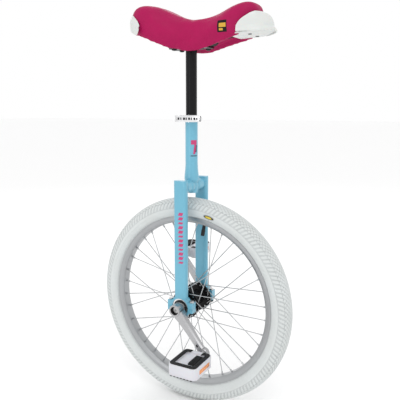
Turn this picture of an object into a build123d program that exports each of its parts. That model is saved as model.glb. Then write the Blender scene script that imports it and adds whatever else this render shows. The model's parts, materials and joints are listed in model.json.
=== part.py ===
from build123d import *
import math
import os

# Unicycle with a 20 inch wheel. Millimetres, +Z up, +X forward, +Y to the rider's left.
# The origin is on the ground, straight below the middle of the axle.

# ---------------------------------------------------------------- driving sizes
# Wheel
bead_seat_radius = 203.0          # 406 mm bead seat diameter
tyre_section = 50.0
tyre_wall = 3.5
tyre_radius = 253.0
flange_height = 6.0
rim_width = 31.0
rim_inner_width = 22.4
rim_depth = 14.5
rim_wall = 2.0
bed_wall = 1.8
tape_width = 17.6
tape_thickness = 0.8
tube_wall = 1.2
spoke_count = 36
spoke_radius = 1.0
elbow_clearance = 0.1              # inside face of a flange
elbow_outer_clearance = 2.0        # outside face, so the spoke clears the flange edge
cross_count = 3
first_spoke_angle = 5.0
nipple_radius = 2.0
nipple_length = 11.0
nipple_head_radius = 3.0
nipple_head_length = 2.2
nipple_tilt_room = 0.5
nipple_hole_stagger = 3.0
access_hole_radius = 4.0
valve_angle = 80.0
valve_radius = 3.9
valve_length = 38.0
valve_cap_radius = 4.6
valve_cap_length = 13.0

# Hub, axle and bearings
flange_y = 30.0
flange_thickness = 3.0
flange_radius = 35.0
flange_pitch_radius = 30.0
hub_barrel_radius = 17.0
hub_end_y = 38.0
axle_radius = 10.0
axle_shoulder_y = 60.5
square_width = 12.6
square_end_y = 73.0
bearing_y = 50.0
bearing_width = 12.0
bearing_outer_radius = 21.0
ball_radius = 3.175
ball_count = 9
ball_pitch_radius = 15.5
inner_land_radius = 13.4
outer_land_radius = 17.6
seal_thickness = 1.0
seal_inset = 0.4
cage_half_width = 4.1
cage_half_depth = 0.8

# Cranks
crank_length = 114.0
crank_angle = 47.5                # right crank below the horizontal, pointing forward
crank_inner_y = 61.0
crank_outer_y = 84.5
crank_boss_radius = 14.0
arm_root_width = 21.0
arm_tip_width = 17.0
eye_radius = 12.5
eye_inner_y = 78.0
eye_outer_y = 91.0
arm_inner_y = 68.0
extractor_radius = 11.0
extractor_length = 7.0
bolt_recess_radius = 9.2          # below the extractor thread
bolt_recess_length = 4.0
crank_bolt_head_radius = 7.0
crank_bolt_head_length = 3.5
crank_bolt_radius = 4.0
crank_bolt_length = 24.0
hex_socket_radius = 3.6
hex_socket_depth = 3.0

# Pedals
pedal_depth_y = 80.0
pedal_length_x = 68.0
pedal_height = 29.0
pedal_inner_y = 106.0
pedal_corner = 11.0
pedal_barrel_radius = 13.0
pedal_thread_radius = 7.1
pedal_axle_radius = 6.0
pedal_collar_radius = 8.8
pedal_collar_length = 5.0
pedal_axle_end_gap = 8.0
pedal_cap_thickness = 3.0
grip_width = 10.0
grip_depth = 2.0
grip_gap_x = 26.0
pad_x = 17.0
pad_y = 38.0
reflector_y = 44.0
reflector_z = 10.0
reflector_thickness = 4.0

# Frame
leg_y = 50.0
leg_width_x = 32.0
leg_width_y = 16.0
leg_corner = 6.5
leg_wall = 1.8
leg_top_z = 551.0
leg_plate = 2.0
crown_radius = 13.8
crown_wall = 2.0
crown_z = 534.0
seat_tube_radius = 14.3
seat_tube_bottom_z = 518.0
seat_tube_top_z = 695.6
clamp_slot_width = 3.0
clamp_slot_length = 32.0
holder_radius = 26.0
holder_half_width_x = 33.0
holder_flange_z = 14.0            # from the split line
cap_flange_z = 10.0               # spot-faced round each nut
spot_face_radius = 6.2
holder_split_gap = 0.5
holder_bolt_x = 27.6
m6_radius = 3.0
m6_hole_radius = 3.3
m6_head_radius = 5.6
m6_head_height = 4.0
m6_nut_height = 5.0
cap_bolt_tail = 3.0

# Seat clamp
collar_radius = 17.6
collar_bottom_z = 680.6
collar_top_z = 696.2
ear_inner_y = 1.5
ear_outer_y = 11.0
ear_end_x = -34.0
skewer_x = -28.0
skewer_z = 688.4
skewer_radius = 2.5
skewer_eye_radius = 3.9
skewer_eye_half = 2.8
cam_y = -17.5
cam_radius = 5.2
cam_half_height = 7.4
cam_pin_radius = 1.8
lever_reach = 66.0
lever_inner_y = -19.6
lever_thickness = 4.4
lever_half_height = 7.0
cam_washer_thickness = 1.0
cam_washer_radius = 6.0
clamp_nut_radius = 7.0
clamp_nut_length = 9.0

# Seat post
post_radius = 12.7
post_wall = 2.0
post_length = 300.0
post_top_z = 842.0
plug_flange = 3.0
plug_stem = 14.0
plate_thickness = 3.0
plate_x = 96.0
plate_y = 52.0
stud_x = 34.0
stud_y = 17.0
stud_tail = 3.0
stud_depth = 4.0

# Saddle stations: x, skirt edge, top, half width at the top, half width at the skirt, base inset
saddle_stations = (
    (-133.0, 882.0, 915.0, 34.0, 30.0, 3.0),
    (-128.0, 880.0, 924.0, 50.0, 45.0, 3.0),
    (-118.0, 877.0, 933.0, 61.0, 55.0, 3.0),
    (-98.0, 871.5, 938.0, 68.0, 61.0, 4.0),
    (-60.0, 853.0, 926.0, 60.0, 52.0, 8.0),
    (-20.0, 841.0, 907.0, 48.0, 40.0, 10.0),
    (30.0, 839.0, 897.0, 42.0, 32.0, 7.5),
    (70.0, 848.0, 903.0, 43.0, 34.0, 6.0),
    (110.0, 858.0, 918.0, 47.0, 39.0, 4.0),
    (140.0, 866.0, 927.0, 48.0, 42.0, 3.0),
    (158.0, 872.0, 926.0, 43.0, 38.0, 3.0),
    (168.0, 876.0, 918.0, 35.0, 31.0, 3.0),
    (173.0, 879.0, 909.0, 25.0, 22.0, 3.0),
)
cover_thickness = 2.0
base_thickness = 5.0
saddle_corner_share = 0.4
front_bumper_back_x = 131.0
front_bumper_round_x = 142.0      # where its sides start to turn in towards the tip
front_bumper_reach = 57.0         # from there to the tip
front_bumper_half_width = 51.5
front_bumper_top_z = 911.0
front_bumper_top_corner = 14.0
front_lip_z = 864.0
front_hollow_x = 176.5            # back of the hollow under the tip
rear_bumper_front_x = -94.0
rear_bumper_end = 13.0            # how far it stands out beyond the last station
bumper_wall = 4.5
bumper_floor = 3.0
front_screw_x = 150.0
rear_screw_x = -120.0
screw_y = 20.0
screw_radius = 2.0
screw_head_radius = 4.0
screw_head_height = 2.5
screw_boss_radius = 6.5
screw_boss_height = 9.0
screw_length = 18.0

# Clearances
running = 0.05                    # radial, turning or sliding pairs
seated = 0.02                     # radial, parts fixed to each other
soft_gap = 0.3                    # between padding, skins and their neighbours

# ---------------------------------------------------------------- derived sizes
wheel_z = tyre_radius
section_radius = tyre_section / 2
tube_centre_radius = tyre_radius - section_radius
rim_outer_radius = bead_seat_radius + flange_height
rim_inner_radius = rim_outer_radius - rim_depth
casing_inner = section_radius - tyre_wall
pedal_mid_y = pedal_inner_y + pedal_depth_y / 2
pedal_outer_y = pedal_inner_y + pedal_depth_y
tube_bore = post_radius + running
base_pad_z = post_top_z + plate_thickness

nodes = {}


# ---------------------------------------------------------------- helpers
def about_axle(shape, angle):
    """Turn a shape about the wheel's axle, positive from +X towards +Z."""
    moved = Pos(0, 0, -wheel_z) * shape
    return Pos(0, 0, wheel_z) * Rot(0, -angle, 0) * moved


def y_cylinder(radius, y_low, y_high, x=0.0, z=0.0):
    """Cylinder along Y between two values of Y."""
    body = Cylinder(radius, y_high - y_low)
    return Pos(x, (y_low + y_high) / 2, z) * Rot(90, 0, 0) * body


def z_cylinder(radius, z_low, z_high, x=0.0, y=0.0):
    """Cylinder along Z between two values of Z."""
    return Pos(x, y, (z_low + z_high) / 2) * Cylinder(radius, z_high - z_low)


def block(x_low, x_high, y_low, y_high, z_low, z_high):
    """Box between two corners."""
    size = Box(x_high - x_low, y_high - y_low, z_high - z_low)
    return Pos((x_low + x_high) / 2, (y_low + y_high) / 2, (z_low + z_high) / 2) * size


def ring_y(outer, inner, y_low, y_high, x=0.0, z=0.0):
    """Plain ring about an axis along Y."""
    return y_cylinder(outer, y_low, y_high, x, z) - y_cylinder(inner, y_low - 1, y_high + 1, x, z)


def mirrored(shape):
    """The same shape on the other side of the wheel."""
    return mirror(shape, about=Plane.XZ)


def on_wheel(face):
    """Revolve a face drawn as (Y, radius) about the wheel's axle."""
    placed = Plane(origin=(0, 0, wheel_z), x_dir=(0, 1, 0), z_dir=(1, 0, 0)) * face
    return revolve(placed, axis=Axis((0, 0, wheel_z), (0, 1, 0)), revolution_arc=360)


def rod(start, end, radius):
    """Round rod between two points."""
    path = Vector(*end) - Vector(*start)
    plane = Plane(origin=start, z_dir=path)
    return extrude(plane * Circle(radius), amount=path.length)


def polygon_xz(points, y_low, y_high):
    """Extrude an outline drawn in X and Z from one value of Y to another."""
    outline = make_face(Polyline([(x, 0, z) for x, z in points], close=True))
    return Pos(0, y_low, 0) * extrude(outline, amount=y_high - y_low, dir=(0, 1, 0))


def polygon_yr(points):
    """Face from points given as (Y, radius)."""
    return make_face(Polyline([(y, r, 0) for y, r in points], close=True))


# ---------------------------------------------------------------- wheel
def make_tyre():
    outer = Pos(0, tube_centre_radius) * Circle(section_radius)
    above = rim_outer_radius + 0.2
    cut = Pos(0, above - section_radius) * Rectangle(tyre_section + 2, tyre_section)
    crown = outer - cut
    bead_outer = rim_width / 2 - rim_wall - 0.1
    bead_bottom = bead_seat_radius + 0.1
    bead_height = above + 0.9 - bead_bottom
    bead_middle = bead_bottom + bead_height / 2
    bead = Pos(0, bead_middle) * Rectangle(2 * bead_outer, bead_height)
    inside = Pos(0, tube_centre_radius) * Circle(casing_inner)
    slot_width = tape_width + 1.4
    slot = Pos(0, bead_middle) * Rectangle(slot_width, bead_height + 2)
    return on_wheel(crown + bead - inside - slot)


def make_inner_tube():
    outer = Circle(casing_inner - soft_gap)
    inner = Circle(casing_inner - soft_gap - tube_wall)
    return on_wheel(Pos(0, tube_centre_radius) * (outer - inner))


def rim_hole_angles():
    step = 360 / spoke_count
    return [first_spoke_angle + step * i for i in range(spoke_count)]


def radial_cylinder(radius, r_low, r_high, angle, y=0.0):
    """Cylinder that points straight out from the axle."""
    post = z_cylinder(radius, wheel_z + r_low, wheel_z + r_high, 0, y)
    return about_axle(post, angle - 90)


def hole_side(index):
    """Even holes take the right flange's spokes, odd holes the left flange's."""
    return -1 if index % 2 == 0 else 1


def make_rim():
    half = rim_width / 2
    inner_half = rim_inner_width / 2
    side_z = rim_inner_radius + 5.5
    bed_low = bead_seat_radius - bed_wall
    outline = polygon_yr([
        (-half, rim_outer_radius), (-half, side_z), (-inner_half, rim_inner_radius),
        (inner_half, rim_inner_radius), (half, side_z), (half, rim_outer_radius),
        (half - rim_wall, rim_outer_radius), (half - rim_wall, bead_seat_radius),
        (rim_wall - half, bead_seat_radius), (rim_wall - half, rim_outer_radius),
    ])
    hollow = polygon_yr([
        (rim_wall - half + 1.0, bed_low), (rim_wall - inner_half + 1.0, rim_inner_radius + rim_wall),
        (inner_half - rim_wall - 1.0, rim_inner_radius + rim_wall), (half - rim_wall - 1.0, bed_low),
    ])
    rim = on_wheel(outline - hollow)
    holes = []
    for index, angle in enumerate(rim_hole_angles()):
        y = hole_side(index) * nipple_hole_stagger
        small = nipple_radius + nipple_tilt_room
        holes.append(radial_cylinder(small, rim_inner_radius - 2, bed_low - 1, angle, y))
        holes.append(radial_cylinder(access_hole_radius, bed_low - 1, bead_seat_radius + 1, angle, y))
    holes.append(radial_cylinder(valve_radius + 0.2, rim_inner_radius - 2, bead_seat_radius + 1, valve_angle))
    return rim - holes


def make_rim_tape():
    low = bead_seat_radius + 0.02
    tape = ring_y(low + tape_thickness, low, -tape_width / 2, tape_width / 2, 0, wheel_z)
    return tape - radial_cylinder(valve_radius + 0.2, low - 2, low + 4, valve_angle)


def spoke_points(index):
    """Head, elbow and rim end of a spoke, which runs through the middle of its rim hole."""
    side = hole_side(index)
    rim_angle = rim_hole_angles()[index]
    pair = index // 2
    trailing = pair % 2 == 1
    turn = cross_count * 360 / (spoke_count / 2)
    hub_angle = rim_angle - turn if trailing else rim_angle + turn
    half = flange_thickness / 2
    inner_elbow = flange_y - half - spoke_radius - elbow_clearance
    outer_elbow = flange_y + half + spoke_radius + elbow_outer_clearance
    elbow_y = side * (inner_elbow if trailing else outer_elbow)
    head_y = side * (flange_y + half if trailing else flange_y - half)
    hub = math.radians(hub_angle)
    rim = math.radians(rim_angle)
    elbow = (flange_pitch_radius * math.cos(hub), elbow_y, wheel_z + flange_pitch_radius * math.sin(hub))
    head = (elbow[0], head_y, elbow[2])
    aim_radius = rim_inner_radius + rim_wall / 2
    aim_y = side * nipple_hole_stagger
    aim = Vector(aim_radius * math.cos(rim), aim_y, wheel_z + aim_radius * math.sin(rim))
    path = (aim - Vector(*elbow)).normalized()
    tip = aim + path * (rim_wall / 2 + nipple_head_length)
    return head, elbow, tuple(tip)


def make_spoke(index):
    head, elbow, tip = spoke_points(index)
    outwards = 1 if head[1] > elbow[1] else -1
    bar = rod(elbow, tip, spoke_radius)
    bend = Pos(*elbow) * Sphere(spoke_radius)
    low = min(elbow[1], head[1])
    high = max(elbow[1], head[1])
    through = y_cylinder(spoke_radius, low, high, head[0], head[2])
    rivet_low = head[1] if outwards > 0 else head[1] - 1.0
    rivet = y_cylinder(spoke_radius + 0.9, rivet_low, rivet_low + 1.0, head[0], head[2])
    return bar + bend + through + rivet


def make_nipple(index):
    head, elbow, tip = spoke_points(index)
    path = (Vector(*elbow) - Vector(*tip)).normalized()
    plane = Plane(origin=tip, z_dir=path)
    barrel = extrude(plane * Circle(nipple_radius), amount=nipple_length)
    cap = extrude(plane * Circle(nipple_head_radius), amount=nipple_head_length - 0.7)
    bore = extrude(plane.offset(-1) * Circle(spoke_radius + seated), amount=nipple_length + 3)
    return barrel + cap - bore


def make_spokes(side):
    picked = [i for i in range(spoke_count) if hole_side(i) == side]
    return Compound(children=[make_spoke(i) for i in picked])


def make_nipples():
    return Compound(children=[make_nipple(i) for i in range(spoke_count)])


def make_hub_shell():
    shell = y_cylinder(hub_barrel_radius, -hub_end_y, hub_end_y, 0, wheel_z)
    half = flange_thickness / 2
    for side in (-1, 1):
        mid = side * flange_y
        shell += y_cylinder(flange_radius, mid - half, mid + half, 0, wheel_z)
    shell -= y_cylinder(axle_radius + seated, -hub_end_y - 1, hub_end_y + 1, 0, wheel_z)
    holes = []
    for index in range(spoke_count):
        head, elbow, tip = spoke_points(index)
        mid = hole_side(index) * flange_y
        holes.append(y_cylinder(spoke_radius + 0.15, mid - 3, mid + 3, head[0], head[2]))
    return shell - holes


def make_axle():
    axle = y_cylinder(axle_radius, -axle_shoulder_y, axle_shoulder_y, 0, wheel_z)
    half = square_width / 2
    square = block(-half, half, -square_end_y, square_end_y, -half, half)
    square = about_axle(Pos(0, 0, wheel_z) * square, -crank_angle)
    axle += square
    depth = crank_bolt_length - (crank_outer_y - extractor_length - bolt_recess_length - square_end_y)
    for side in (-1, 1):
        end = side * (square_end_y + 1)
        bottom = side * (square_end_y - depth - 1)
        low = min(end, bottom)
        high = max(end, bottom)
        axle -= y_cylinder(crank_bolt_radius + seated, low, high, 0, wheel_z)
    return axle


def make_spacers():
    outer = inner_land_radius
    low = hub_end_y
    high = bearing_y - bearing_width / 2
    right = ring_y(outer, axle_radius + seated, -high, -low, 0, wheel_z)
    return Compound(children=[right, mirrored(right)])


# ---------------------------------------------------------------- bearings
def bearing_ring(outer, inner, y_middle):
    """One race of a bearing, with its ball groove."""
    low = y_middle - bearing_width / 2
    ring = ring_y(outer, inner, low, low + bearing_width, 0, wheel_z)
    groove = Torus(ball_pitch_radius, ball_radius + 0.03)
    return ring - Pos(0, y_middle, wheel_z) * Rot(90, 0, 0) * groove


def make_outer_rings():
    rings = [bearing_ring(bearing_outer_radius, outer_land_radius, s * bearing_y) for s in (-1, 1)]
    return Compound(children=rings)


def make_inner_rings():
    bore = axle_radius + seated
    rings = [bearing_ring(inner_land_radius, bore, s * bearing_y) for s in (-1, 1)]
    return Compound(children=rings)


def make_seals():
    seals = []
    for y_middle in (-bearing_y, bearing_y):
        for face in (-1, 1):
            outer_face = y_middle + face * (bearing_width / 2 - seal_inset)
            inner_face = outer_face - face * seal_thickness
            low = min(outer_face, inner_face)
            high = max(outer_face, inner_face)
            seals.append(ring_y(outer_land_radius - seated, inner_land_radius + running, low, high, 0, wheel_z))
    return Compound(children=seals)


def ball_places(y_middle):
    places = []
    for i in range(ball_count):
        angle = math.radians(360 / ball_count * i)
        x = ball_pitch_radius * math.cos(angle)
        z = wheel_z + ball_pitch_radius * math.sin(angle)
        places.append((x, y_middle, z))
    return places


def make_balls(y_middle):
    return Compound(children=[Pos(*p) * Sphere(ball_radius) for p in ball_places(y_middle)])


def far_from(centre, place):
    """The point as far beyond a place as the cage is deep."""
    path = (Vector(*place) - Vector(*centre)).normalized()
    return tuple(Vector(*place) + path * 2 * cage_half_depth)


def make_cage(y_middle):
    outer = ball_pitch_radius + cage_half_depth
    inner = ball_pitch_radius - cage_half_depth
    low = y_middle - cage_half_width
    cage = ring_y(outer, inner, low, low + 2 * cage_half_width, 0, wheel_z)
    centre = (0, y_middle, wheel_z)
    pockets = [rod(centre, place, ball_radius + 0.1) for place in ball_places(y_middle)]
    pockets += [rod(place, far_from(centre, place), ball_radius + 0.1) for place in ball_places(y_middle)]
    return cage - pockets


# ---------------------------------------------------------------- cranks
def make_crank():
    """Right crank, built along +X and then turned to its angle."""
    boss = Pos(0, 0) * Circle(crank_boss_radius)
    eye = Pos(crank_length, 0) * Circle(eye_radius)
    arm = make_face(Polyline([
        (0, -arm_root_width / 2), (crank_length, -arm_tip_width / 2),
        (crank_length, arm_tip_width / 2), (0, arm_root_width / 2),
    ], close=True))
    plan = boss + eye + arm
    blank = Pos(0, -crank_inner_y, wheel_z) * Rot(90, 0, 0) * extrude(plan, amount=eye_outer_y - crank_inner_y)
    reach = crank_length + eye_radius + 1
    side = [
        (-crank_boss_radius - 1, -crank_inner_y), (crank_boss_radius, -crank_inner_y),
        (crank_boss_radius + 8, -arm_inner_y), (crank_length - eye_radius - 8, -eye_inner_y),
        (reach, -eye_inner_y), (reach, -eye_outer_y), (crank_length - eye_radius, -eye_outer_y),
        (crank_boss_radius + 6, -crank_outer_y), (-crank_boss_radius - 1, -crank_outer_y),
    ]
    outline = make_face(Polyline([(x, y, wheel_z - 20) for x, y in side], close=True))
    crank = blank & extrude(outline, amount=40, dir=(0, 0, 1))
    half = square_width / 2 + seated
    seat_y = crank_outer_y - extractor_length - bolt_recess_length
    crank -= block(-half, half, -seat_y - 0.01, -crank_inner_y + 1, wheel_z - half, wheel_z + half)
    crank -= y_cylinder(extractor_radius, -crank_outer_y - 1, -crank_outer_y + extractor_length, 0, wheel_z)
    crank -= y_cylinder(bolt_recess_radius, -crank_outer_y - 1, -seat_y, 0, wheel_z)
    crank -= y_cylinder(pedal_thread_radius + seated, -eye_outer_y - 1, -eye_inner_y + 1, crank_length, wheel_z)
    return about_axle(crank, -crank_angle)


def other_side(shape):
    """The left-hand copy: mirrored and half a turn on."""
    return about_axle(mirrored(shape), 180)


def make_crank_bolts():
    seat_y = crank_outer_y - extractor_length - bolt_recess_length
    head_y = seat_y + crank_bolt_head_length
    bolt = y_cylinder(crank_bolt_head_radius, -head_y, -seat_y, 0, wheel_z)
    bolt += y_cylinder(crank_bolt_radius, -seat_y, -seat_y + crank_bolt_length, 0, wheel_z)
    socket = extrude(RegularPolygon(hex_socket_radius, 6), amount=hex_socket_depth)
    bolt -= Pos(0, -head_y + hex_socket_depth, wheel_z) * Rot(90, 0, 0) * socket
    return Compound(children=[bolt, mirrored(bolt)])


# ---------------------------------------------------------------- pedals
def pedal_place():
    angle = math.radians(-crank_angle)
    return crank_length * math.cos(angle), wheel_z + crank_length * math.sin(angle)


def make_pedal_axle():
    x, z = pedal_place()
    tip = pedal_outer_y - pedal_axle_end_gap
    collar_end = eye_outer_y + pedal_collar_length
    axle = y_cylinder(pedal_thread_radius, -eye_outer_y, -eye_inner_y, x, z)
    axle += y_cylinder(pedal_collar_radius, -collar_end, -eye_outer_y, x, z)
    axle += y_cylinder(pedal_axle_radius, -tip, -collar_end, x, z)
    return axle


def pedal_grip_pads(x, z, grow):
    """Textured strips on both faces: a border with a gap at the crank side, and one pad."""
    half_x = pedal_length_x / 2 - 2.0
    low_y = -pedal_outer_y + 2.0
    high_y = -pedal_inner_y - 2.0
    pads = []
    for face in (-1, 1):
        z_high = z + face * pedal_height / 2
        z_low = z_high - face * (grip_depth + (grow if grow else 0))
        bottom = min(z_low, z_high)
        top = max(z_low, z_high)
        wide = grip_width + grow
        frame = block(x - half_x - grow, x + half_x + grow, low_y - grow, high_y + grow, bottom, top)
        frame -= block(x - half_x + wide, x + half_x - wide, low_y + wide, high_y - wide, bottom - 1, top + 1)
        gap = grip_gap_x / 2 - grow
        frame -= block(x - gap, x + gap, high_y - wide - 1, high_y + 2, bottom - 1, top + 1)
        pads.append(frame)
        pad_low = x + pedal_barrel_radius - 8.5 - grow
        middle = -pedal_mid_y
        half = pad_y / 2 + grow
        pads.append(block(pad_low, pad_low + pad_x + 2 * grow, middle - half, middle + half, bottom, top))
    return pads


def pedal_reflector_blocks(x, z, grow):
    blocks = []
    for face in (-1, 1):
        outer = x + face * (pedal_length_x / 2 + (1 if grow else 0))
        inner = x + face * (pedal_length_x / 2 - reflector_thickness - grow)
        half_y = reflector_y / 2 + grow
        half_z = reflector_z / 2 + grow
        mid = -pedal_mid_y
        low_x = min(outer, inner)
        high_x = max(outer, inner)
        blocks.append(block(low_x, high_x, mid - half_y, mid + half_y, z - half_z, z + half_z))
    return blocks


def make_pedal_body():
    x, z = pedal_place()
    plan = RectangleRounded(pedal_length_x, pedal_depth_y, pedal_corner)
    body = Pos(x, -pedal_mid_y, z - pedal_height / 2) * extrude(plan, amount=pedal_height)
    body -= pedal_grip_pads(x, z, seated)
    body -= pedal_reflector_blocks(x, z, seated)
    body -= y_cylinder(pedal_axle_radius + running, -pedal_outer_y - 1, -pedal_inner_y + 1, x, z)
    cap_seat = pedal_outer_y - pedal_cap_thickness
    return body - y_cylinder(pedal_axle_radius + 3 + seated, -pedal_outer_y - 1, -cap_seat, x, z)


def make_pedal_cap():
    x, z = pedal_place()
    return y_cylinder(pedal_axle_radius + 3, -pedal_outer_y, -pedal_outer_y + pedal_cap_thickness, x, z)


def make_pedal_grips():
    x, z = pedal_place()
    plan = RectangleRounded(pedal_length_x, pedal_depth_y, pedal_corner)
    body = Pos(x, -pedal_mid_y, z - pedal_height / 2) * extrude(plan, amount=pedal_height)
    pads = [solid for pad in pedal_grip_pads(x, z, 0.0) for solid in (pad & body).solids()]
    return Compound(children=pads)


def make_pedal_reflectors():
    x, z = pedal_place()
    return Compound(children=pedal_reflector_blocks(x, z, 0.0))


# ---------------------------------------------------------------- frame
def make_seat_tube():
    tube = z_cylinder(seat_tube_radius, seat_tube_bottom_z, seat_tube_top_z)
    tube -= z_cylinder(tube_bore, seat_tube_bottom_z - 1, seat_tube_top_z + 1)
    half = clamp_slot_width / 2
    slot_low = seat_tube_top_z - clamp_slot_length
    return tube - block(-seat_tube_radius - 1, 0, -half, half, slot_low, seat_tube_top_z + 1)


def make_crown_tubes():
    inner_face = leg_y - leg_width_y / 2
    stub = y_cylinder(crown_radius, -inner_face, 0, 0, crown_z)
    stub -= y_cylinder(crown_radius - crown_wall, -inner_face - 1, 1, 0, crown_z)
    stub -= z_cylinder(seat_tube_radius, crown_z - 2 * crown_radius, crown_z + 2 * crown_radius)
    return Compound(children=[stub, mirrored(stub)])


def make_leg():
    low = wheel_z
    high = leg_top_z - leg_plate
    outer = RectangleRounded(leg_width_x, leg_width_y, leg_corner)
    inner = RectangleRounded(leg_width_x - 2 * leg_wall, leg_width_y - 2 * leg_wall, leg_corner - leg_wall)
    leg = Pos(0, -leg_y, low) * extrude(outer - inner, amount=high - low)
    return leg - y_cylinder(holder_radius, -leg_y - leg_width_y, -leg_y + leg_width_y, 0, wheel_z)


def make_leg_plates():
    outer = RectangleRounded(leg_width_x, leg_width_y, leg_corner)
    plate = Pos(0, -leg_y, leg_top_z - leg_plate) * extrude(outer, amount=leg_plate)
    return Compound(children=[plate, mirrored(plate)])


def make_holder(direction):
    """Half of the right bearing clamp: +1 is the upper half, welded to the leg, and -1 the cap."""
    low_y = -leg_y - leg_width_y / 2
    high_y = low_y + leg_width_y
    gap = holder_split_gap / 2
    half = y_cylinder(holder_radius, low_y, high_y, 0, wheel_z)
    near = wheel_z + direction * gap
    flange = holder_flange_z if direction > 0 else cap_flange_z
    far = wheel_z + direction * flange
    z_low = min(near, far)
    z_high = max(near, far)
    half += block(-holder_half_width_x, holder_half_width_x, low_y, high_y, z_low, z_high)
    cut_low = min(near, wheel_z - direction * 50)
    cut_high = max(near, wheel_z - direction * 50)
    half -= block(-60, 60, low_y - 1, high_y + 1, cut_low, cut_high)
    half -= y_cylinder(bearing_outer_radius + seated, low_y - 1, high_y + 1, 0, wheel_z)
    for x in (-holder_bolt_x, holder_bolt_x):
        half -= z_cylinder(m6_hole_radius, wheel_z - 60, wheel_z + 60, x, -leg_y)
        half -= z_cylinder(spot_face_radius, wheel_z - 60, wheel_z - cap_flange_z, x, -leg_y)
    return half


def cap_bolt_places():
    return [(x, y) for y in (-leg_y, leg_y) for x in (-holder_bolt_x, holder_bolt_x)]


def hexagon(z_low, height, radius, x, y):
    return Pos(x, y, z_low) * extrude(RegularPolygon(radius, 6), amount=height)


def make_cap_bolts():
    top = wheel_z + holder_flange_z
    bottom = wheel_z - cap_flange_z - m6_nut_height - cap_bolt_tail
    bolts = []
    for x, y in cap_bolt_places():
        head = hexagon(top, m6_head_height, m6_head_radius, x, y)
        bolts.append(head + z_cylinder(m6_radius, bottom, top, x, y))
    return Compound(children=bolts)


def make_cap_nuts():
    low = wheel_z - cap_flange_z - m6_nut_height
    nuts = []
    for x, y in cap_bolt_places():
        nut = hexagon(low, m6_nut_height, m6_head_radius, x, y)
        nuts.append(nut - z_cylinder(m6_radius + seated, low - 1, low + m6_nut_height + 1, x, y))
    return Compound(children=nuts)


# ---------------------------------------------------------------- seat clamp
def make_collar():
    collar = z_cylinder(collar_radius, collar_bottom_z, collar_top_z)
    collar += block(ear_end_x, -seat_tube_radius, -ear_outer_y, ear_outer_y, collar_bottom_z + 3, collar_top_z)
    collar -= z_cylinder(seat_tube_radius + running, collar_bottom_z - 1, seat_tube_top_z)
    collar -= z_cylinder(tube_bore, collar_bottom_z - 1, collar_top_z + 1)
    collar -= block(ear_end_x - 1, 0, -ear_inner_y, ear_inner_y, collar_bottom_z - 1, collar_top_z + 1)
    return collar - y_cylinder(skewer_radius + running, -30, 30, skewer_x, skewer_z)


def make_skewer():
    nut_end = ear_outer_y + clamp_nut_length - 1.5
    skewer = y_cylinder(skewer_radius, cam_y, nut_end, skewer_x, skewer_z)
    low = skewer_z - skewer_eye_half
    high = skewer_z + skewer_eye_half
    skewer += z_cylinder(skewer_eye_radius, low, high, skewer_x, cam_y)
    return skewer - z_cylinder(cam_pin_radius + running, low - 1, high + 1, skewer_x, cam_y)


def make_cam_washer():
    low = -ear_outer_y - cam_washer_thickness - soft_gap
    return ring_y(cam_washer_radius, skewer_radius + running, low, low + cam_washer_thickness, skewer_x, skewer_z)


def make_lever():
    gap = skewer_eye_half + 0.2
    lever = z_cylinder(cam_radius, skewer_z - cam_half_height, skewer_z - gap, skewer_x, cam_y)
    lever += z_cylinder(cam_radius, skewer_z + gap, skewer_z + cam_half_height, skewer_x, cam_y)
    lever += z_cylinder(cam_pin_radius, skewer_z - cam_half_height, skewer_z + cam_half_height, skewer_x, cam_y)
    outer_y = lever_inner_y - lever_thickness
    bridge_x = skewer_x + skewer_eye_radius + 1.0
    for low, high in ((-cam_half_height, -gap), (gap, cam_half_height)):
        fork = block(skewer_x, bridge_x + 3, outer_y, cam_y, skewer_z + low, skewer_z + high)
        lever += fork
    tip_x = skewer_x + lever_reach
    arm = block(bridge_x, tip_x - lever_half_height, outer_y, lever_inner_y,
                skewer_z - lever_half_height, skewer_z + lever_half_height)
    arm += y_cylinder(lever_half_height, outer_y, lever_inner_y, tip_x - lever_half_height, skewer_z)
    return lever + arm


def make_clamp_nut():
    nut = y_cylinder(clamp_nut_radius, ear_outer_y + 0.1, ear_outer_y + clamp_nut_length, skewer_x, skewer_z)
    bore_end = ear_outer_y + clamp_nut_length - 1.0
    return nut - y_cylinder(skewer_radius + running, ear_outer_y - 1, bore_end, skewer_x, skewer_z)


# ---------------------------------------------------------------- seat post
def make_seat_post():
    bottom = post_top_z - post_length
    post = z_cylinder(post_radius, bottom, post_top_z)
    return post - z_cylinder(post_radius - post_wall, bottom - 1, post_top_z + 1)


def make_post_plug():
    bottom = post_top_z - post_length
    plug = z_cylinder(post_radius - 0.2, bottom - plug_flange - running, bottom - running)
    return plug + z_cylinder(post_radius - post_wall - running, bottom - plug_flange, bottom + plug_stem)


def stud_places():
    return [(x, y) for x in (-stud_x, stud_x) for y in (-stud_y, stud_y)]


def make_post_plate():
    plan = RectangleRounded(plate_x, plate_y, 12)
    plate = Pos(0, 0, post_top_z) * extrude(plan, amount=plate_thickness)
    for x, y in stud_places():
        plate -= z_cylinder(m6_hole_radius, post_top_z - 1, post_top_z + 10, x, y)
    return plate


def make_studs():
    bottom = post_top_z - m6_nut_height - stud_tail
    top = base_pad_z + stud_depth
    return Compound(children=[z_cylinder(m6_radius, bottom, top, x, y) for x, y in stud_places()])


def make_stud_nuts():
    low = post_top_z - m6_nut_height
    nuts = []
    for x, y in stud_places():
        nut = hexagon(low, m6_nut_height, m6_head_radius, x, y)
        nuts.append(nut - z_cylinder(m6_radius + seated, low - 1, post_top_z + 1, x, y))
    return Compound(children=nuts)


# ---------------------------------------------------------------- saddle
def half_at(station, z):
    """Half width of the saddle at a height: it narrows steadily from the top to the skirt."""
    share = (z - skirt(station)) / (crest(station) - skirt(station))
    return station[4] + share * (station[3] - station[4])


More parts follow.
